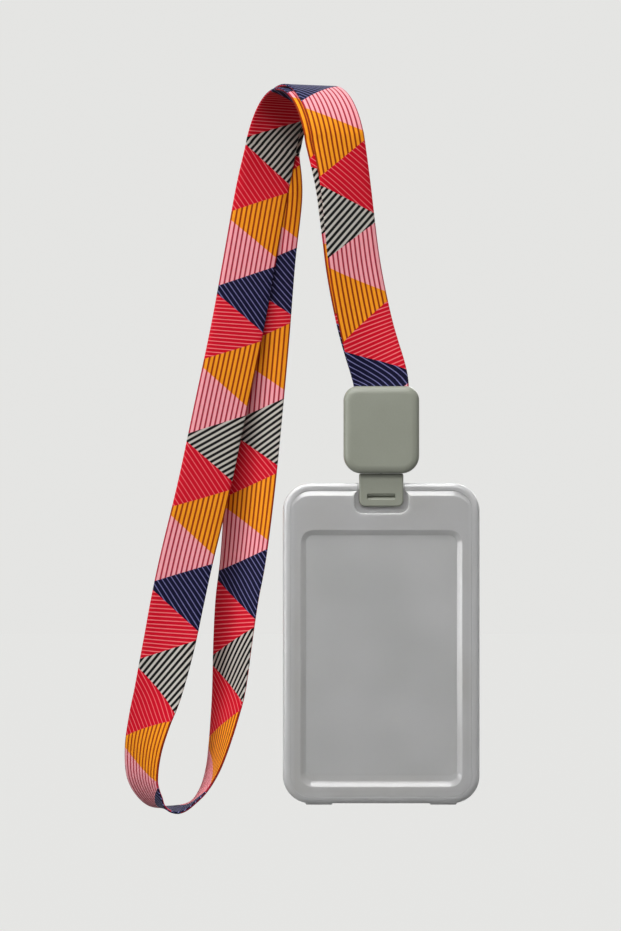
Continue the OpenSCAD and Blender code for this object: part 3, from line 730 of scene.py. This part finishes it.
def drawn_metal(name, colour, roughness, grain):
    """Bright metal, drawn or turned, with fine marks that stretch its highlights."""
    material, tree = surface(name, colour, roughness, metallic=1.0)
    marks = spots(tree, 0.25, 2.0, add(tree, "Mapping", places(tree), None, None, grain))
    join(tree, Roughness=add(tree, "MapRange", marks, *SPAN, roughness - 0.06, roughness + 0.1),
         Normal=add(tree, "Bump", 0.2, 0.02 * MM, None, marks))
    return material


def blued_spring_steel():
    """Hardened strip, tempered blue: dark, with straw and violet where the heat was less."""
    material, tree = surface("blued_spring_steel", "46536b", 0.3, metallic=1.0)
    temper = add(tree, "MapRange", spots(tree, 6.0), *SPAN, 0.0, 1.0)
    join(tree, Base_Color=add(tree, "Mix", temper, linear("3c4a66"), linear("75684f"), data_type="RGBA"),
         Roughness=add(tree, "MapRange", spots(tree, 0.5), *SPAN, 0.24, 0.4))
    return material


def natural_acetal():
    """Acetal in its own white: waxy and dense, with a faint flow pattern."""
    material, tree = surface("natural_acetal", "e6e2d6", 0.36, ior=1.48)
    flow = spots(tree, 4.0)
    join(tree, Base_Color=add(tree, "Mix", flow, linear("eae6da"), linear("dcd8ca"), data_type="RGBA"),
         Roughness=add(tree, "MapRange", flow, *SPAN, 0.3, 0.44),
         Normal=add(tree, "Bump", 0.2, 0.02 * MM, None, spots(tree, 0.5)))
    return material


# The cord's braid: strands round the cord, and the length of one crossing in millimetres
BRAID_STRANDS = 4
BRAID_PITCH = 1.1


def braided_cord(name, ways_of):
    """Braided polyester cord: dark strands that cross in diamonds, with painted shade between them and a soft
    fibre sheen.
    """
    material, tree = surface(name, "1a1a1c", 0.72, ior=1.45, Sheen_Weight=0.3, Sheen_Roughness=0.4)
    around, along = ways_of(tree)
    strands = add(tree, "Math", around, float(BRAID_STRANDS), operation="MULTIPLY")
    picks = add(tree, "Math", along, BRAID_PITCH, operation="DIVIDE")
    waves = []
    for one, way, other in ((strands, "ADD", picks), (picks, "SUBTRACT", strands)):
        wave = add(tree, "Math", one, other, operation=way)
        wave = add(tree, "Math", wave, 2 * math.pi, operation="MULTIPLY")
        waves.append(add(tree, "Math", wave, operation="SINE"))
    crossing = add(tree, "Math", *waves, operation="MULTIPLY")
    # Painted shade and highlight: the strands are paler where they cross and darker in the hollows between
    # them
    crossing_light = add(tree, "MapRange", crossing, -0.6, 0.6, 0.0, 1.0)
    join(tree, Base_Color=add(tree, "Mix", crossing_light, linear("0e0e10"), linear("3a3a3e"), data_type="RGBA"),
         Normal=add(tree, "Bump", 0.7, 0.08 * MM, None, crossing))
    return material


def along_turns(tree):
    """Round the cord and along it, for cord whose braid follows its turns on the spool."""
    return add(tree, "SeparateXYZ", add(tree, "UVMap", uv_map="braid")).node.outputs[:2]


def straight_down(tree):
    """Round the cord and along it, for cord that pays out downwards and keeps its braid at any length."""
    x, y, z = add(tree, "SeparateXYZ", places(tree)).node.outputs
    x = add(tree, "Math", x, REEL_X, operation="SUBTRACT")
    y = add(tree, "Math", y, CORD_Y * MM, operation="SUBTRACT")
    around = add(tree, "Math", add(tree, "Math", y, x, operation="ARCTAN2"), 2 * math.pi, operation="DIVIDE")
    return around, add(tree, "Math", z, MM, operation="DIVIDE")


# Case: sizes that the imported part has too, in millimetres
PART_Y = COVER_BACK + 0.1
SKIN = 1.2
PLATE_Y = CASE_BACK - SKIN
EDGE_WALL = 1.6
CASE_R = 10.0
SHOULDER_W = 2.7
SHOULDER_D = 1.6
FOOT_SHOULDER_W = 2.4
NOTCH_W = 19.4
NOTCH_H = 10.8
NOTCH_R = 3.0
CLIP_W = 16.0
BROW_H = 16.8
WINDOW_W = 54.6
WINDOW_H = 86.8
WINDOW_R = 2.6
WINDOW_DEPTH = 1.1
WINDOW_SLOPE = 2.2
WINDOW_FOOT = 4.5
WINDOW_WALL = 1.0
# The way down to the window: shares of the sides' width, of the foot's and of the depth
WINDOW_RAMP = (
    (0, 0, 0), (0.06, 0.03, 0.01), (0.15, 0.08, 0.08), (0.44, 0.28, 0.41), (0.73, 0.48, 0.74),
    (0.79, 0.54, 0.8), (0.85, 0.66, 0.85), (0.92, 0.88, 0.96), (1, 1, 1))
# The clip lies in a shallow seat in the front face, with a notch of its own size through it
SEAT_DEPTH = 1.3
SEAT_FLOOR_T = 1.1
SEAT_WALL = 1.0
SEAT_NECK = 8.5
SEAT_FLARE = 2.2
SEAT_STEPS = 8
# The seat's chamfered rim: how much wider than the seat, and how far behind the face
SEAT_RIM = ((0.8, -OVER), (0.8, -0.02), (0.2, 0.22), (0.08, 0.5), (0, SEAT_DEPTH))
CLIP_CLEAR = 0.25
CLIP_NOTCH_R = 2.4
# Along the top the front leans back a little towards the edge
TOP_BAND_W = 4.7
TOP_BAND_DROP = 0.82
LAND = 0.5
# Where the lean begins: how far out from the flat, how far up from the band's edge, and its share there
LEAN_START = (0.03, 0.25, 0.2)
# A fine witness line runs round the front inside the shoulder: shares of its width, and its depth there
WITNESS_W = 0.3
WITNESS = ((1, 0), (0.7, 0.12), (0.3, 0.12))


def case_outline(side, top=None, foot=None):
    """The case's outline drawn in by side, top and foot."""
    r = CASE_R - side
    low = CASE_FLOOR + (side if foot is None else foot)
    return plate(CASE_LEFT + side, CASE_RIGHT - side, low, CASE_TOP - (side if top is None else top), r, r)


def window_outline(side, foot):
    """The window floor's outline grown by side, at the top too, and by foot."""
    high = CASE_TOP - BROW_H - WINDOW_SLOPE
    r = WINDOW_R + side
    return mid_plate(WINDOW_W / 2 + side, high - WINDOW_H - foot, high + side, r, r)


def lean_back(outline):
    """How far each point of the front lies behind the flat of the face, near the top."""
    rise = np.clip((outline[:, 1] - (CASE_TOP - CASE_R)) / CASE_R, 0, 1)
    return TOP_BAND_DROP * rise ** 2 * (3 - 2 * rise)


def cover_front_rings():
    """Rings from the flat of the face, over the witness line and the shoulder, to the parting edge."""
    def ring(inset, y, lean=1.0, top=None):
        outline = case_outline(inset, top, FOOT_SHOULDER_W * inset / SHOULDER_W)
        return outline, CASE_FRONT + y + lean * lean_back(outline)

    flat = SHOULDER_W + LAND
    out, up, lean = LEAN_START
    rings = [ring(flat, 0, 0, TOP_BAND_W), ring(flat - out, 0, lean, TOP_BAND_W - up)]
    rings += [ring(SHOULDER_W + WITNESS_W * share, depth) for share, depth in WITNESS]
    rings += [ring(SHOULDER_W * side, SHOULDER_D * back, 1 - back) for side, back in roll()]
    return rings + [(case_outline(0), COVER_BACK - CHAMFER), (case_outline(CHAMFER), COVER_BACK)]


def seat_outline(grow):
    """The seat round the clip: as wide as the clip at the top edge, then wider, with a round foot."""
    half = NOTCH_W / 2
    right = [(SEAT_NECK + grow, CASE_TOP + OVER)]
    for k in range(SEAT_STEPS + 1):
        t = k / SEAT_STEPS
        x = SEAT_NECK + (half - SEAT_NECK) * t * t * (3 - 2 * t)
        right.append((x + grow, CASE_TOP - SEAT_FLARE * (1 + t)))
    foot = CASE_TOP - NOTCH_H - grow
    r = NOTCH_R + grow
    for k in range(CORNER_STEPS + 1):
        a = math.radians(90 * k / CORNER_STEPS)
        right.append((half + grow - r * (1 - math.cos(a)), foot + r * (1 - math.sin(a))))
    left = [(-x, z) for x, z in right]
    return np.array([(MID_X + x, z) for x, z in left + right[::-1]])


def make_cover(plastic):
    """Front shell: flat face, rounded shoulder, the sunk window, and the seat and notch round the clip."""
    bm = bmesh.new()
    inner = case_outline(EDGE_WALL)
    shell = skin(bm, stack([*cover_front_rings(), (inner, COVER_BACK), (inner, CASE_FRONT + SKIN)]))
    window = skin(bm, stack([
        (window_outline(WINDOW_SLOPE * (1 - side), WINDOW_FOOT * (1 - foot)),
         CASE_FRONT + WINDOW_DEPTH * fall) for side, foot, fall in WINDOW_RAMP]))
    behind = skin(bm, stack([
        (window_outline(WINDOW_SLOPE + WINDOW_WALL, WINDOW_FOOT + WINDOW_WALL), CASE_FRONT + SKIN),
        (window_outline(WINDOW_WALL, WINDOW_WALL), CASE_FRONT + WINDOW_DEPTH + SKIN)]))
    fill_between(bm, shell[0], window[0])
    bm.faces.new(window[-1])
    fill_between(bm, shell[-1], behind[0])
    bm.faces.new(behind[-1])
    cover = piece_from(bm, "front_shell")
    backing = mid_plate(NOTCH_W / 2 + SEAT_WALL, CASE_TOP - NOTCH_H - SEAT_WALL, CASE_TOP - EDGE_WALL / 2,
                        SHARP_R, NOTCH_R)
    carve(cover, [block(backing, CASE_FRONT + SKIN - ROOT, CASE_FRONT + SEAT_DEPTH + SEAT_FLOOR_T)], "UNION")
    through = mid_plate(CLIP_W / 2 + CLIP_CLEAR, CLIP_FLOOR - CLIP_CLEAR, CASE_TOP + OVER,
                        SHARP_R, CLIP_NOTCH_R)
    carve(cover, [tapered([(seat_outline(grow), CASE_FRONT + y) for grow, y in SEAT_RIM]),
                  block(through, CASE_FRONT - OVER, COVER_BACK + OVER)])
    smooth(cover)
    fit(cover, plastic, "frosted_polypropylene", "cover", "case_cover")


# Rear shell
TRAY_SHOULDER_W = 2.0
TRAY_SHOULDER_D = 1.1
NOTCH_DIP = 1.2
RELIEF_T = 0.3
RELIEF_H = 9.7
SLOT_W = 13.0
SLOT_HIGH = -150.5
SLOT_LOW = -152.9
# Guide ribs round the card, broken in the middle of each side
FENCE_T = 1.0
FENCE_GAP = 0.2
FENCE_H = 1.9
FENCE_BREAK = 20.0
# Snap lugs inside the side walls, and how far above the case's middle they are
LUG_T = 1.0
LUG_GAP = 0.2
LUG_H = 3.0
LUG_RISE = 1.6
LUG_PLACES = (20.2, -15.8)


def notch_tool(front, back, fall, half=NOTCH_W / 2):
    """A block that cuts the notch round the clip, open at the top."""
    return block(mid_plate(half, CASE_TOP - fall, CASE_TOP + OVER, SHARP_R, NOTCH_R), front, back)


def tray_ribs():
    """The card's guide ribs, two to a corner, and the snap lugs."""
    middle = CASE_TOP - BROW_H - WINDOW_SLOPE - WINDOW_H / 2
    half_w, half_h = WINDOW_W / 2 + FENCE_GAP, WINDOW_H / 2
    ribs = []
    for side in (-1, 1):
        for end in (-1, 1):
            upright = ((half_w, half_w + FENCE_T), (FENCE_BREAK / 2, half_h + FENCE_T))
            level = ((FENCE_BREAK / 2, half_w), (half_h, half_h + FENCE_T))
            for across, up in (upright, level):
                x = sorted(side * d for d in across)
                z = sorted(end * d for d in up)
                ribs.append(box((MID_X + x[0], PLATE_Y - FENCE_H, middle + z[0]),
                                (MID_X + x[1], PLATE_Y + ROOT, middle + z[1])))
        x = MID_X + side * ((CASE_RIGHT - CASE_LEFT) / 2 - EDGE_WALL - LUG_GAP - LUG_T / 2)
        for rise in LUG_PLACES:
            z = (CASE_TOP + CASE_FLOOR) / 2 + rise
            ribs.append(box((x - LUG_T / 2, PART_Y - LUG_RISE, z - LUG_H / 2),
                            (x + LUG_T / 2, PLATE_Y + ROOT, z + LUG_H / 2)))
    return ribs


def make_tray(plastic):
    """Rear shell: flat back, hanging slot, the card's guide ribs and the snap lugs."""
    wall = case_outline(EDGE_WALL)
    rings = [(wall, PLATE_Y), (wall, PART_Y), (case_outline(CHAMFER), PART_Y),
             (case_outline(0), PART_Y + CHAMFER)]
    rings += [(case_outline(TRAY_SHOULDER_W * side), CASE_BACK - TRAY_SHOULDER_D * back)
              for side, back in reversed(roll())]
    tray = tapered(rings, "rear_shell")
    carve(tray, tray_ribs(), "UNION")
    # The slot's ends are round, but for a hair of flat
    slot_r = (SLOT_HIGH - SLOT_LOW) / 2 - 0.01
    carve(tray, [
        notch_tool(PART_Y - OVER, PLATE_Y, NOTCH_H),
        notch_tool(PART_Y - OVER, CASE_BACK + OVER, NOTCH_DIP + NOTCH_R, CLIP_W / 2 + CLIP_CLEAR),
        notch_tool(CASE_BACK - RELIEF_T, CASE_BACK + OVER, RELIEF_H),
        block(mid_plate(SLOT_W / 2, SLOT_LOW, SLOT_HIGH, slot_r, slot_r), PLATE_Y - OVER, CASE_BACK + OVER)])
    smooth(tray)
    fit(tray, plastic, "frosted_polypropylene", "clip", "case_tray")


# Film hinges: the bevel is how much narrower each side gets for each millimetre down
FILM_W = 10.1
FILM_T = 0.35
FILM_R = 0.5
FILM_DROP = 0.2
FILM_BEVEL = 0.72
FILM_STEPS = 12
FILM_ANGLE = 40


def make_film_hinges(plastic):
    """Two thin bridges, each bent into a U under the bottom edge."""
    pitch = (film_high.x - film_low.x) / MM - FILM_W
    turns = [math.pi * k / FILM_STEPS for k in range(FILM_STEPS + 1)]
    bend = [(-math.cos(a), math.sin(a), FILM_DROP) for a in turns]
    path = [(-1.0, 0.0, 0.0), *bend, (1.0, 0.0, 0.0)]
    for side, name in ((-1, "film_hinge_left"), (1, "film_hinge_right")):
        rows = []
        for out, down, drop in path:
            row = []
            for r, end in ((FILM_R, -1), (FILM_R, 1), (FILM_R - FILM_T, 1), (FILM_R - FILM_T, -1)):
                depth = drop + r * down
                x = MID_X + side * pitch / 2 + end * (FILM_W / 2 - depth * FILM_BEVEL)
                row.append((x * MM, (PART_Y + r * out) * MM, (CASE_FLOOR - depth) * MM))
            rows.append(row)
        film = closed(rows, name)
        smooth(film, FILM_ANGLE)
        fit(film, plastic, "frosted_polypropylene", None, "film_hinges")
        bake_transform(film)


# Reel housing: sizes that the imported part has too, in millimetres
REEL_WALL = 1.6
REEL_TOP_R = 5.0
REEL_FOOT_R = 6.5
PILLOW_W = 3.0
PILLOW_D = 1.8
WORKS_FRONT, WORKS_BACK = REEL_FRONT + REEL_WALL, REEL_BACK - REEL_WALL
CAVITY_R = (spool_high.x - spool_low.x) / 2 / MM + 0.4
# The strap's pin lies in a bore, in the pocket that the strap turns in, under the mouth that it comes out of
PIN_BORE_R = 1.05
PIN_BORE_HALF = 11.8
POCKET_R = 2.36
MOUTH_W = 20.6
MOUTH_D = 5.4
# The eyelet's seat in the floor, and the funnel above it: radius, and heights above the floor
EYELET_SEAT_R = 1.65
EYELET_SEAT_TOP = 1.05
FUNNEL_R = 3.2
FUNNEL = (1.0, 2.9)
# The spool's post, its spigot in the front half, and the slit for the spring's inner end
POST_R = 2.0
SPIGOT_R = 1.2
SPIGOT_LEN = 0.4
SPIGOT_SEAT = 0.8
POST_ROOT = 0.2
SPRING_SLIT_HALF = 0.2
SPRING_SLIT_STOP = 1.2
SCREW_R = 0.8
SCREW_HEAD_R = 1.45
SCREW_HEAD_T = 0.9
SCREW_SPOTS = ((11.2, 8.5), (10.25, -12.7))
# Where the plastic entered the mould, a faint dimple on the face
GATE_SPOT = (MID_X - 4.8, REEL_TOP - 15.8)


def reel_tools(front, back):
    """Everything that is cut out of one half of the housing, between two depths."""
    tools = [
        block(disc(MID_X, SPOOL_Z, CAVITY_R, 96), max(WORKS_FRONT, front), min(WORKS_BACK, back)),
        axle(MID_X, PIN_BORE_HALF, CORD_Y, STRAP_PIN_Z, PIN_BORE_R, 32),
        axle(MID_X, MOUTH_W / 2, CORD_Y, STRAP_PIN_Z, POCKET_R),
        box((MID_X - MOUTH_W / 2, CORD_Y - MOUTH_D / 2, STRAP_PIN_Z),
            (MID_X + MOUTH_W / 2, CORD_Y + MOUTH_D / 2, REEL_TOP + OVER)),
        bore(REEL_FLOOR - OVER, REEL_FLOOR + EYELET_SEAT_TOP, EYELET_SEAT_R),
        bore(REEL_FLOOR + FUNNEL[0], REEL_FLOOR + FUNNEL[1], FUNNEL_R)]
    for side in (-1, 1):
        for x, z in SCREW_SPOTS:
            spot = (MID_X + side * x, (REEL_TOP + REEL_FLOOR) / 2 + z)
            tools.append(block(disc(*spot, SCREW_R), WORKS_FRONT, REEL_BACK + OVER))
            tools.append(block(disc(*spot, SCREW_HEAD_R), REEL_BACK - SCREW_HEAD_T, REEL_BACK + OVER))
    return tools


def reel_rings(face, seam, roll_w, roll_d):
    """Rings of one half of the housing, from its soft-edged face to the seam."""
    def ring(inset, y):
        return plate(REEL_LEFT + inset, REEL_RIGHT - inset, REEL_FLOOR + inset, REEL_TOP - inset,
                     REEL_TOP_R - inset, REEL_FOOT_R - inset), y

    way = 1 if seam > face else -1
    rings = [ring(roll_w * side, face + way * roll_d * back) for side, back in roll()]
    return rings + [ring(0, seam - way * CHAMFER), ring(CHAMFER / 2, seam)]


def make_reel(plastic):
    """The two halves of the housing, hollowed for the spool, the strap, the cord and the screws."""
    front = tapered(reel_rings(REEL_FRONT, CORD_Y, PILLOW_W, PILLOW_D), "reel_front_half")
    carve(front, [*reel_tools(REEL_FRONT, CORD_Y + OVER),
                  block(disc(MID_X, SPOOL_Z, SPIGOT_R + RUN_GAP), WORKS_FRONT - SPIGOT_SEAT, CORD_Y),
                  dimple(*GATE_SPOT, REEL_FRONT, 0.45, 0.25, 0.08)])
    smooth(front)
    fit(front, plastic, "abs", "reel", "reel_front_cover")

    rear = tapered(reel_rings(REEL_BACK, CORD_Y, PILLOW_W / 2, PILLOW_D / 2), "reel_rear_half")
    carve(rear, reel_tools(CORD_Y - OVER, REEL_BACK))
    carve(rear, [block(disc(MID_X, SPOOL_Z, POST_R, 48), WORKS_FRONT + POST_ROOT, WORKS_BACK + POST_ROOT),
                 block(disc(MID_X, SPOOL_Z, SPIGOT_R), WORKS_FRONT - SPIGOT_LEN, WORKS_BACK + ROOT)], "UNION")
    carve(rear, [box((MID_X - POST_R - OVER, WORKS_FRONT - OVER, SPOOL_Z - SPRING_SLIT_HALF),
                     (MID_X, WORKS_BACK - SPRING_SLIT_STOP, SPOOL_Z + SPRING_SLIT_HALF))])
    smooth(rear)
    fit(rear, plastic, "abs", "reel", "reel_rear_cover")


# Cord
CORD_D = 0.8
CORD_LEAVE = 25
CORD_SIDES = 12
# The winding: turns in each of its two layers, points in a turn, and points that climb to the outer layer
WOUND_TURNS = 5
TURN_STEPS = 60
CLIMB_STEPS = 12


def tube(name, path, radius):
    """A cord along a path in millimetres, with the braid's coordinates as a UV map."""
    path = np.array(path, float)
    run = np.gradient(path, axis=0)
    run /= np.linalg.norm(run, axis=1)[:, None]
    along = np.concatenate([[0], np.cumsum(np.linalg.norm(np.diff(path, axis=0), axis=1))])
    turns = [2 * math.pi * k / CORD_SIDES for k in range(CORD_SIDES)]
    rings = []
    for place, way in zip(path, run):
        side = np.cross(way, (0, 1, 0))
        side /= np.linalg.norm(side)
        up = np.cross(side, way)
        rings.append([(place + radius * (math.cos(a) * side + math.sin(a) * up)) * MM for a in turns])
    bm = bmesh.new()
    braid = bm.loops.layers.uv.new("braid")
    rows = skin(bm, rings)
    for number, face in enumerate(bm.faces):
        face.smooth = True
        i, j = divmod(number, CORD_SIDES)
        for loop, (row, k) in zip(face.loops, ((i, j), (i, j + 1), (i + 1, j + 1), (i + 1, j))):
            loop[braid].uv = (k / CORD_SIDES, along[row])
    bm.faces.new(rows[0])
    bm.faces.new(rows[-1])
    return piece_from(bm, name)


def make_winding():
    """The cord on the spool, in two layers of turns."""
    half = (winding_high.y - winding_low.y) / 2 / MM - CORD_D / 2
    outer = (winding_high.x - winding_low.x) / 2 / MM - CORD_D / 2
    inner = outer - CORD_D * 0.97
    last = WOUND_TURNS * TURN_STEPS
    path = []
    for layer in (0, 1):
        for k in range(last + layer):
            a = 2 * math.pi * (layer * WOUND_TURNS + k / TURN_STEPS)
            y = half * (2 * k / last - 1) * (1 if layer else -1)
            inside = 0 if layer else min(1.0, (last - k) / CLIMB_STEPS)
            r = outer - (outer - inner) * inside
            path.append((MID_X + r * math.cos(a), CORD_Y + y, SPOOL_Z + r * math.sin(a)))
    winding = tube("cord_turns", path, CORD_D / 2 - 0.01)
    fit(winding, braided_cord("braided_cord_wound", along_turns), "cord", "spool", "cord_winding")


def make_pull_cord():
    """The stretch of cord from the spool through the eyelet into the clip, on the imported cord's route."""
    reach = (winding_high.x - winding_low.x) / 2 / MM + 0.05 + CORD_D / 2
    a = math.radians(CORD_LEAVE)
    start = np.array((reach * math.sin(a), -reach * math.cos(a)))
    slope = np.array((-math.cos(a), -math.sin(a)))
    guide = REEL_FLOOR + 1.0 - SPOOL_Z
    clip = CLIP_TOP - SPOOL_Z
    rows = [start, start + 1.2 * slope * CORD_D, start + 2.4 * slope * CORD_D]
    rows += [np.array(place) for place in (
        (start[0] / 3, (start[1] + 2 * guide) / 3), (CORD_D / 3, guide + CORD_D), (0, guide + CORD_D / 3),
        (0, guide - 1.0), (0, clip - 2.4), (0, clip - 4.4))]
    points = []
    for i in range(len(rows) - 1):
        before, after = rows[max(i - 1, 0)], rows[min(i + 2, len(rows) - 1)]
        points += [glide(before, rows[i], rows[i + 1], after, k / 4) for k in range(4)]
    points.append(rows[-1])
    cord = tube("pull_cord_stretch", [(MID_X + x, CORD_Y, SPOOL_Z + z) for x, z in points], CORD_D / 2)
    fit(cord, braided_cord("braided_cord_hanging", straight_down), "cord", None, "pull_cord")
    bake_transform(cord)


# Clip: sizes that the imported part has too, in millimetres
CLIP_EDGE = 0.6
CLIP_FOOT_R = 2.2
CLIP_TOP_R = 0.65
CLIP_LIFT = 0.35
CLIP_BACK = PLATE_Y - 0.3
CLIP_PIN_Y = CASE_BACK - 0.8
CLIP_PIN_Z = CLIP_TOP - 1.5
CLIP_PIN_BORE_R = 0.525
KNUCKLE_R = 1.3
KNUCKLE_W = 9.0
KNUCKLE_GAP = 0.3
TONGUE_R = 8.2
# The slit for the tongue, and its chamfered lip, which is wider at the foot
SLIT_W = 10.0
SLIT_HALF_H = 0.5
SLIT_LIP = 0.2
SLIT_FOOT_LIP = 0.75
SLIT_LIP_DEPTH = 0.5
# The cord's bore and the ferrule's pocket, below the clip's top: radius, depth of the foot, of the top
CORD_BORE = (0.6, 4.9, -OVER)
FERRULE_POCKET = (1.05, 4.8, 2.7)
# Two faint marks from the mould's pins, below the slit, from the clip's middle
MARK_X = 4.0
MARK_DROP = 9.2


def make_clip(plastic):
    """The clip's front leaf, with the slit for the tongue, the pin's ears and the ferrule's seat."""
    high = CLIP_TOP + CLIP_LIFT

    def ring(inset, y):
        return mid_plate(CLIP_W / 2 - inset, CLIP_FLOOR + inset, high - inset, CLIP_TOP_R - inset,
                         CLIP_FOOT_R - inset), y

    rings = [ring(CLIP_EDGE * side, CLIP_FRONT + CLIP_EDGE * back) for side, back in roll(ROLL_STEPS // 2)]
    clip = tapered([*rings, ring(0, CLIP_BACK)], "clip_leaf")
    half_ear = ((CLIP_W - KNUCKLE_W) / 2 - KNUCKLE_GAP) / 2
    ears = []
    for side in (-1, 1):
        x = MID_X + side * (CLIP_W / 2 - half_ear)
        ears.append(axle(x, half_ear, CLIP_PIN_Y, CLIP_PIN_Z, KNUCKLE_R))
        ears.append(box((x - half_ear + 0.01, CLIP_BACK - CLIP_EDGE, CLIP_PIN_Z - KNUCKLE_R + 0.01),
                        (x + half_ear - 0.01, CLIP_PIN_Y, CLIP_PIN_Z + KNUCKLE_R - 0.01)))
    carve(clip, ears, "UNION")
    # The slit bends with the arc that the tongue swings on
    slit = axle(MID_X, SLIT_W / 2, CLIP_PIN_Y, CLIP_PIN_Z, TONGUE_R + SLIT_HALF_H, 128)
    carve(slit, [axle(MID_X, SLIT_W, CLIP_PIN_Y, CLIP_PIN_Z, TONGUE_R - SLIT_HALF_H, 128)])
    reach = CLIP_PIN_Y - CLIP_FRONT
    slit_low, slit_high = [CLIP_PIN_Z - math.sqrt(r ** 2 - reach ** 2)
                           for r in (TONGUE_R + SLIT_HALF_H, TONGUE_R - SLIT_HALF_H)]
    wide = mid_plate(SLIT_W / 2 + SLIT_LIP, slit_low - SLIT_FOOT_LIP, slit_high + SLIT_LIP, 0.5, 0.7)
    narrow = mid_plate(SLIT_W / 2, slit_low, slit_high, 0.25, 0.25)
    lip = tapered([(wide, CLIP_FRONT - 0.02), (narrow, CLIP_FRONT + SLIT_LIP_DEPTH)])
    tools = [
        slit, lip,
        axle(MID_X, CLIP_W / 2 + OVER, CLIP_PIN_Y, CLIP_PIN_Z, CLIP_PIN_BORE_R, 32),
        axle(MID_X, KNUCKLE_W / 2 + KNUCKLE_GAP, CLIP_PIN_Y, CLIP_PIN_Z, KNUCKLE_R + KNUCKLE_GAP)]
    tools += [bore(high - foot, high - top, r, 32) for r, foot, top in (CORD_BORE, FERRULE_POCKET)]
    tools += [dimple(MID_X + side * MARK_X, CLIP_TOP - MARK_DROP, CLIP_FRONT, 0.42, 0.2, 0.1)
              for side in (-1, 1)]
    carve(clip, tools)
    smooth(clip)
    fit(clip, plastic, "abs", "clip", "clip_body")


def dress_nodes(abs_grey):
    """Finishes for the pieces that keep their own solids. A metal's last three numbers stretch its marks."""
    steel = drawn_metal("bright_drawn_steel", "c4c6c8", 0.24, (0.04, 1.0, 1.0))
    acetal = natural_acetal()
    finishes = {
        "strap_pin": steel,
        "clip_pin": steel,
        "housing_screws": drawn_metal("zinc_plated_steel", "b9bcbf", 0.34, (1.0, 0.2, 1.0)),
        "cord_eyelet": drawn_metal("nickel_plated_brass", "cfcbc0", 0.2, (1.0, 1.0, 0.1)),
        "cord_ferrule": drawn_metal("turned_brass", "c8a34c", 0.28, (1.0, 1.0, 0.1)),
        "spool_drum": acetal,
        "spool_cap": acetal,
        "power_spring": blued_spring_steel(),
        "clip_flap": abs_grey}
    for name, material in finishes.items():
        clothe(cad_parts[name], material)


# Stage: metres, and the strength of the floor and sky as they are seen and as they light the object.
# The floor lies so low that the case stays above it when the cord is pulled out and the cover hangs open
FLOOR_DROP = 0.85
FLOOR_HALF = 15
PALE = "fbfbf9"
FLOOR_PALENESS = 0.8
SKY_PALENESS = 0.81
SKY_LIGHT = 0.13
# Lamps: place, width and height in metres, and power in watts
LAMPS = {
    "left": ((-1.0, -0.75, 0.1), (0.4, 0.9), 5.5),
    "above": ((-0.25, -0.85, 0.58), (0.9, 0.28), 7.5),
    "top": ((-0.1, -0.3, 0.8), (0.8, 0.3), 5),
    "fill": ((0.9, -1.0, 0.1), (0.9, 0.9), 0.6),
    "behind": ((0.5, 0.9, 0.45), (0.8, 0.6), 9)}


def seen_or_mirrored(tree):
    """1 for what is seen straight, in a mirror or through glass, and 0 for light on the object."""
    ray = add(tree, "LightPath").node.outputs
    other = add(tree, "Math", ray["Is Glossy Ray"], ray["Is Transmission Ray"], operation="ADD")
    both = add(tree, "Math", ray["Is Camera Ray"], other, operation="ADD")
    return add(tree, "Math", both, 1.0, operation="MINIMUM")


def lamp(name, place, size, power):
    """A soft light that faces the middle of the object."""
    data = bpy.data.lights.new(name, "AREA")
    data.shape = "RECTANGLE"
    data.size, data.size_y = size
    data.energy = power
    light = bpy.data.objects.new(name, data)
    light.location = place
    light.visible_camera = False
    aim = (cad_low + cad_high) / 2 - Vector(place)
    light.rotation_euler = aim.to_track_quat("-Z", "Y").to_euler()
    bpy.context.scene.collection.objects.link(light)


def stage():
    """A plain pale floor under a plain pale sky, and soft light from the upper left."""
    z = cad_low.z - FLOOR_DROP
    bm = bmesh.new()
    corners = [(x * FLOOR_HALF, y * FLOOR_HALF, z) for x, y in ((-1, -1), (1, -1), (1, 1), (-1, 1))]
    bm.faces.new([bm.verts.new(corner) for corner in corners])
    floor = piece_from(bm, "floor")
    # Pale where it is seen or mirrored, and mid grey where it would only light the object from below
    paper, tree = surface("floor_paper", "5c5c5c", 0.9, Specular_IOR_Level=0.0, Emission_Color=linear(PALE))
    glow = add(tree, "Math", seen_or_mirrored(tree), FLOOR_PALENESS, operation="MULTIPLY")
    join(tree, Emission_Strength=glow)
    clothe(floor, paper)
    world = bpy.data.worlds.new("studio")
    world.use_nodes = True
    tree = world.node_tree
    sky = tree.nodes["Background"]
    glow = add(tree, "Math", seen_or_mirrored(tree), SKY_PALENESS - SKY_LIGHT, SKY_LIGHT,
               operation="MULTIPLY_ADD")
    feed(tree, sky.inputs["Color"], linear(PALE))
    feed(tree, sky.inputs["Strength"], glow)
    bpy.context.scene.world = world
    for name, facts in LAMPS.items():
        lamp(name, *facts)


camera()
make_strap()
housing_abs = moulded_abs()
case_plastic = frosted_polypropylene()
make_cover(case_plastic)
make_tray(case_plastic)
make_film_hinges(case_plastic)
make_reel(housing_abs)
make_clip(housing_abs)
make_winding()
make_pull_cord()
dress_nodes(housing_abs)
stage()
bpy.context.scene.view_settings.view_transform = "Standard"
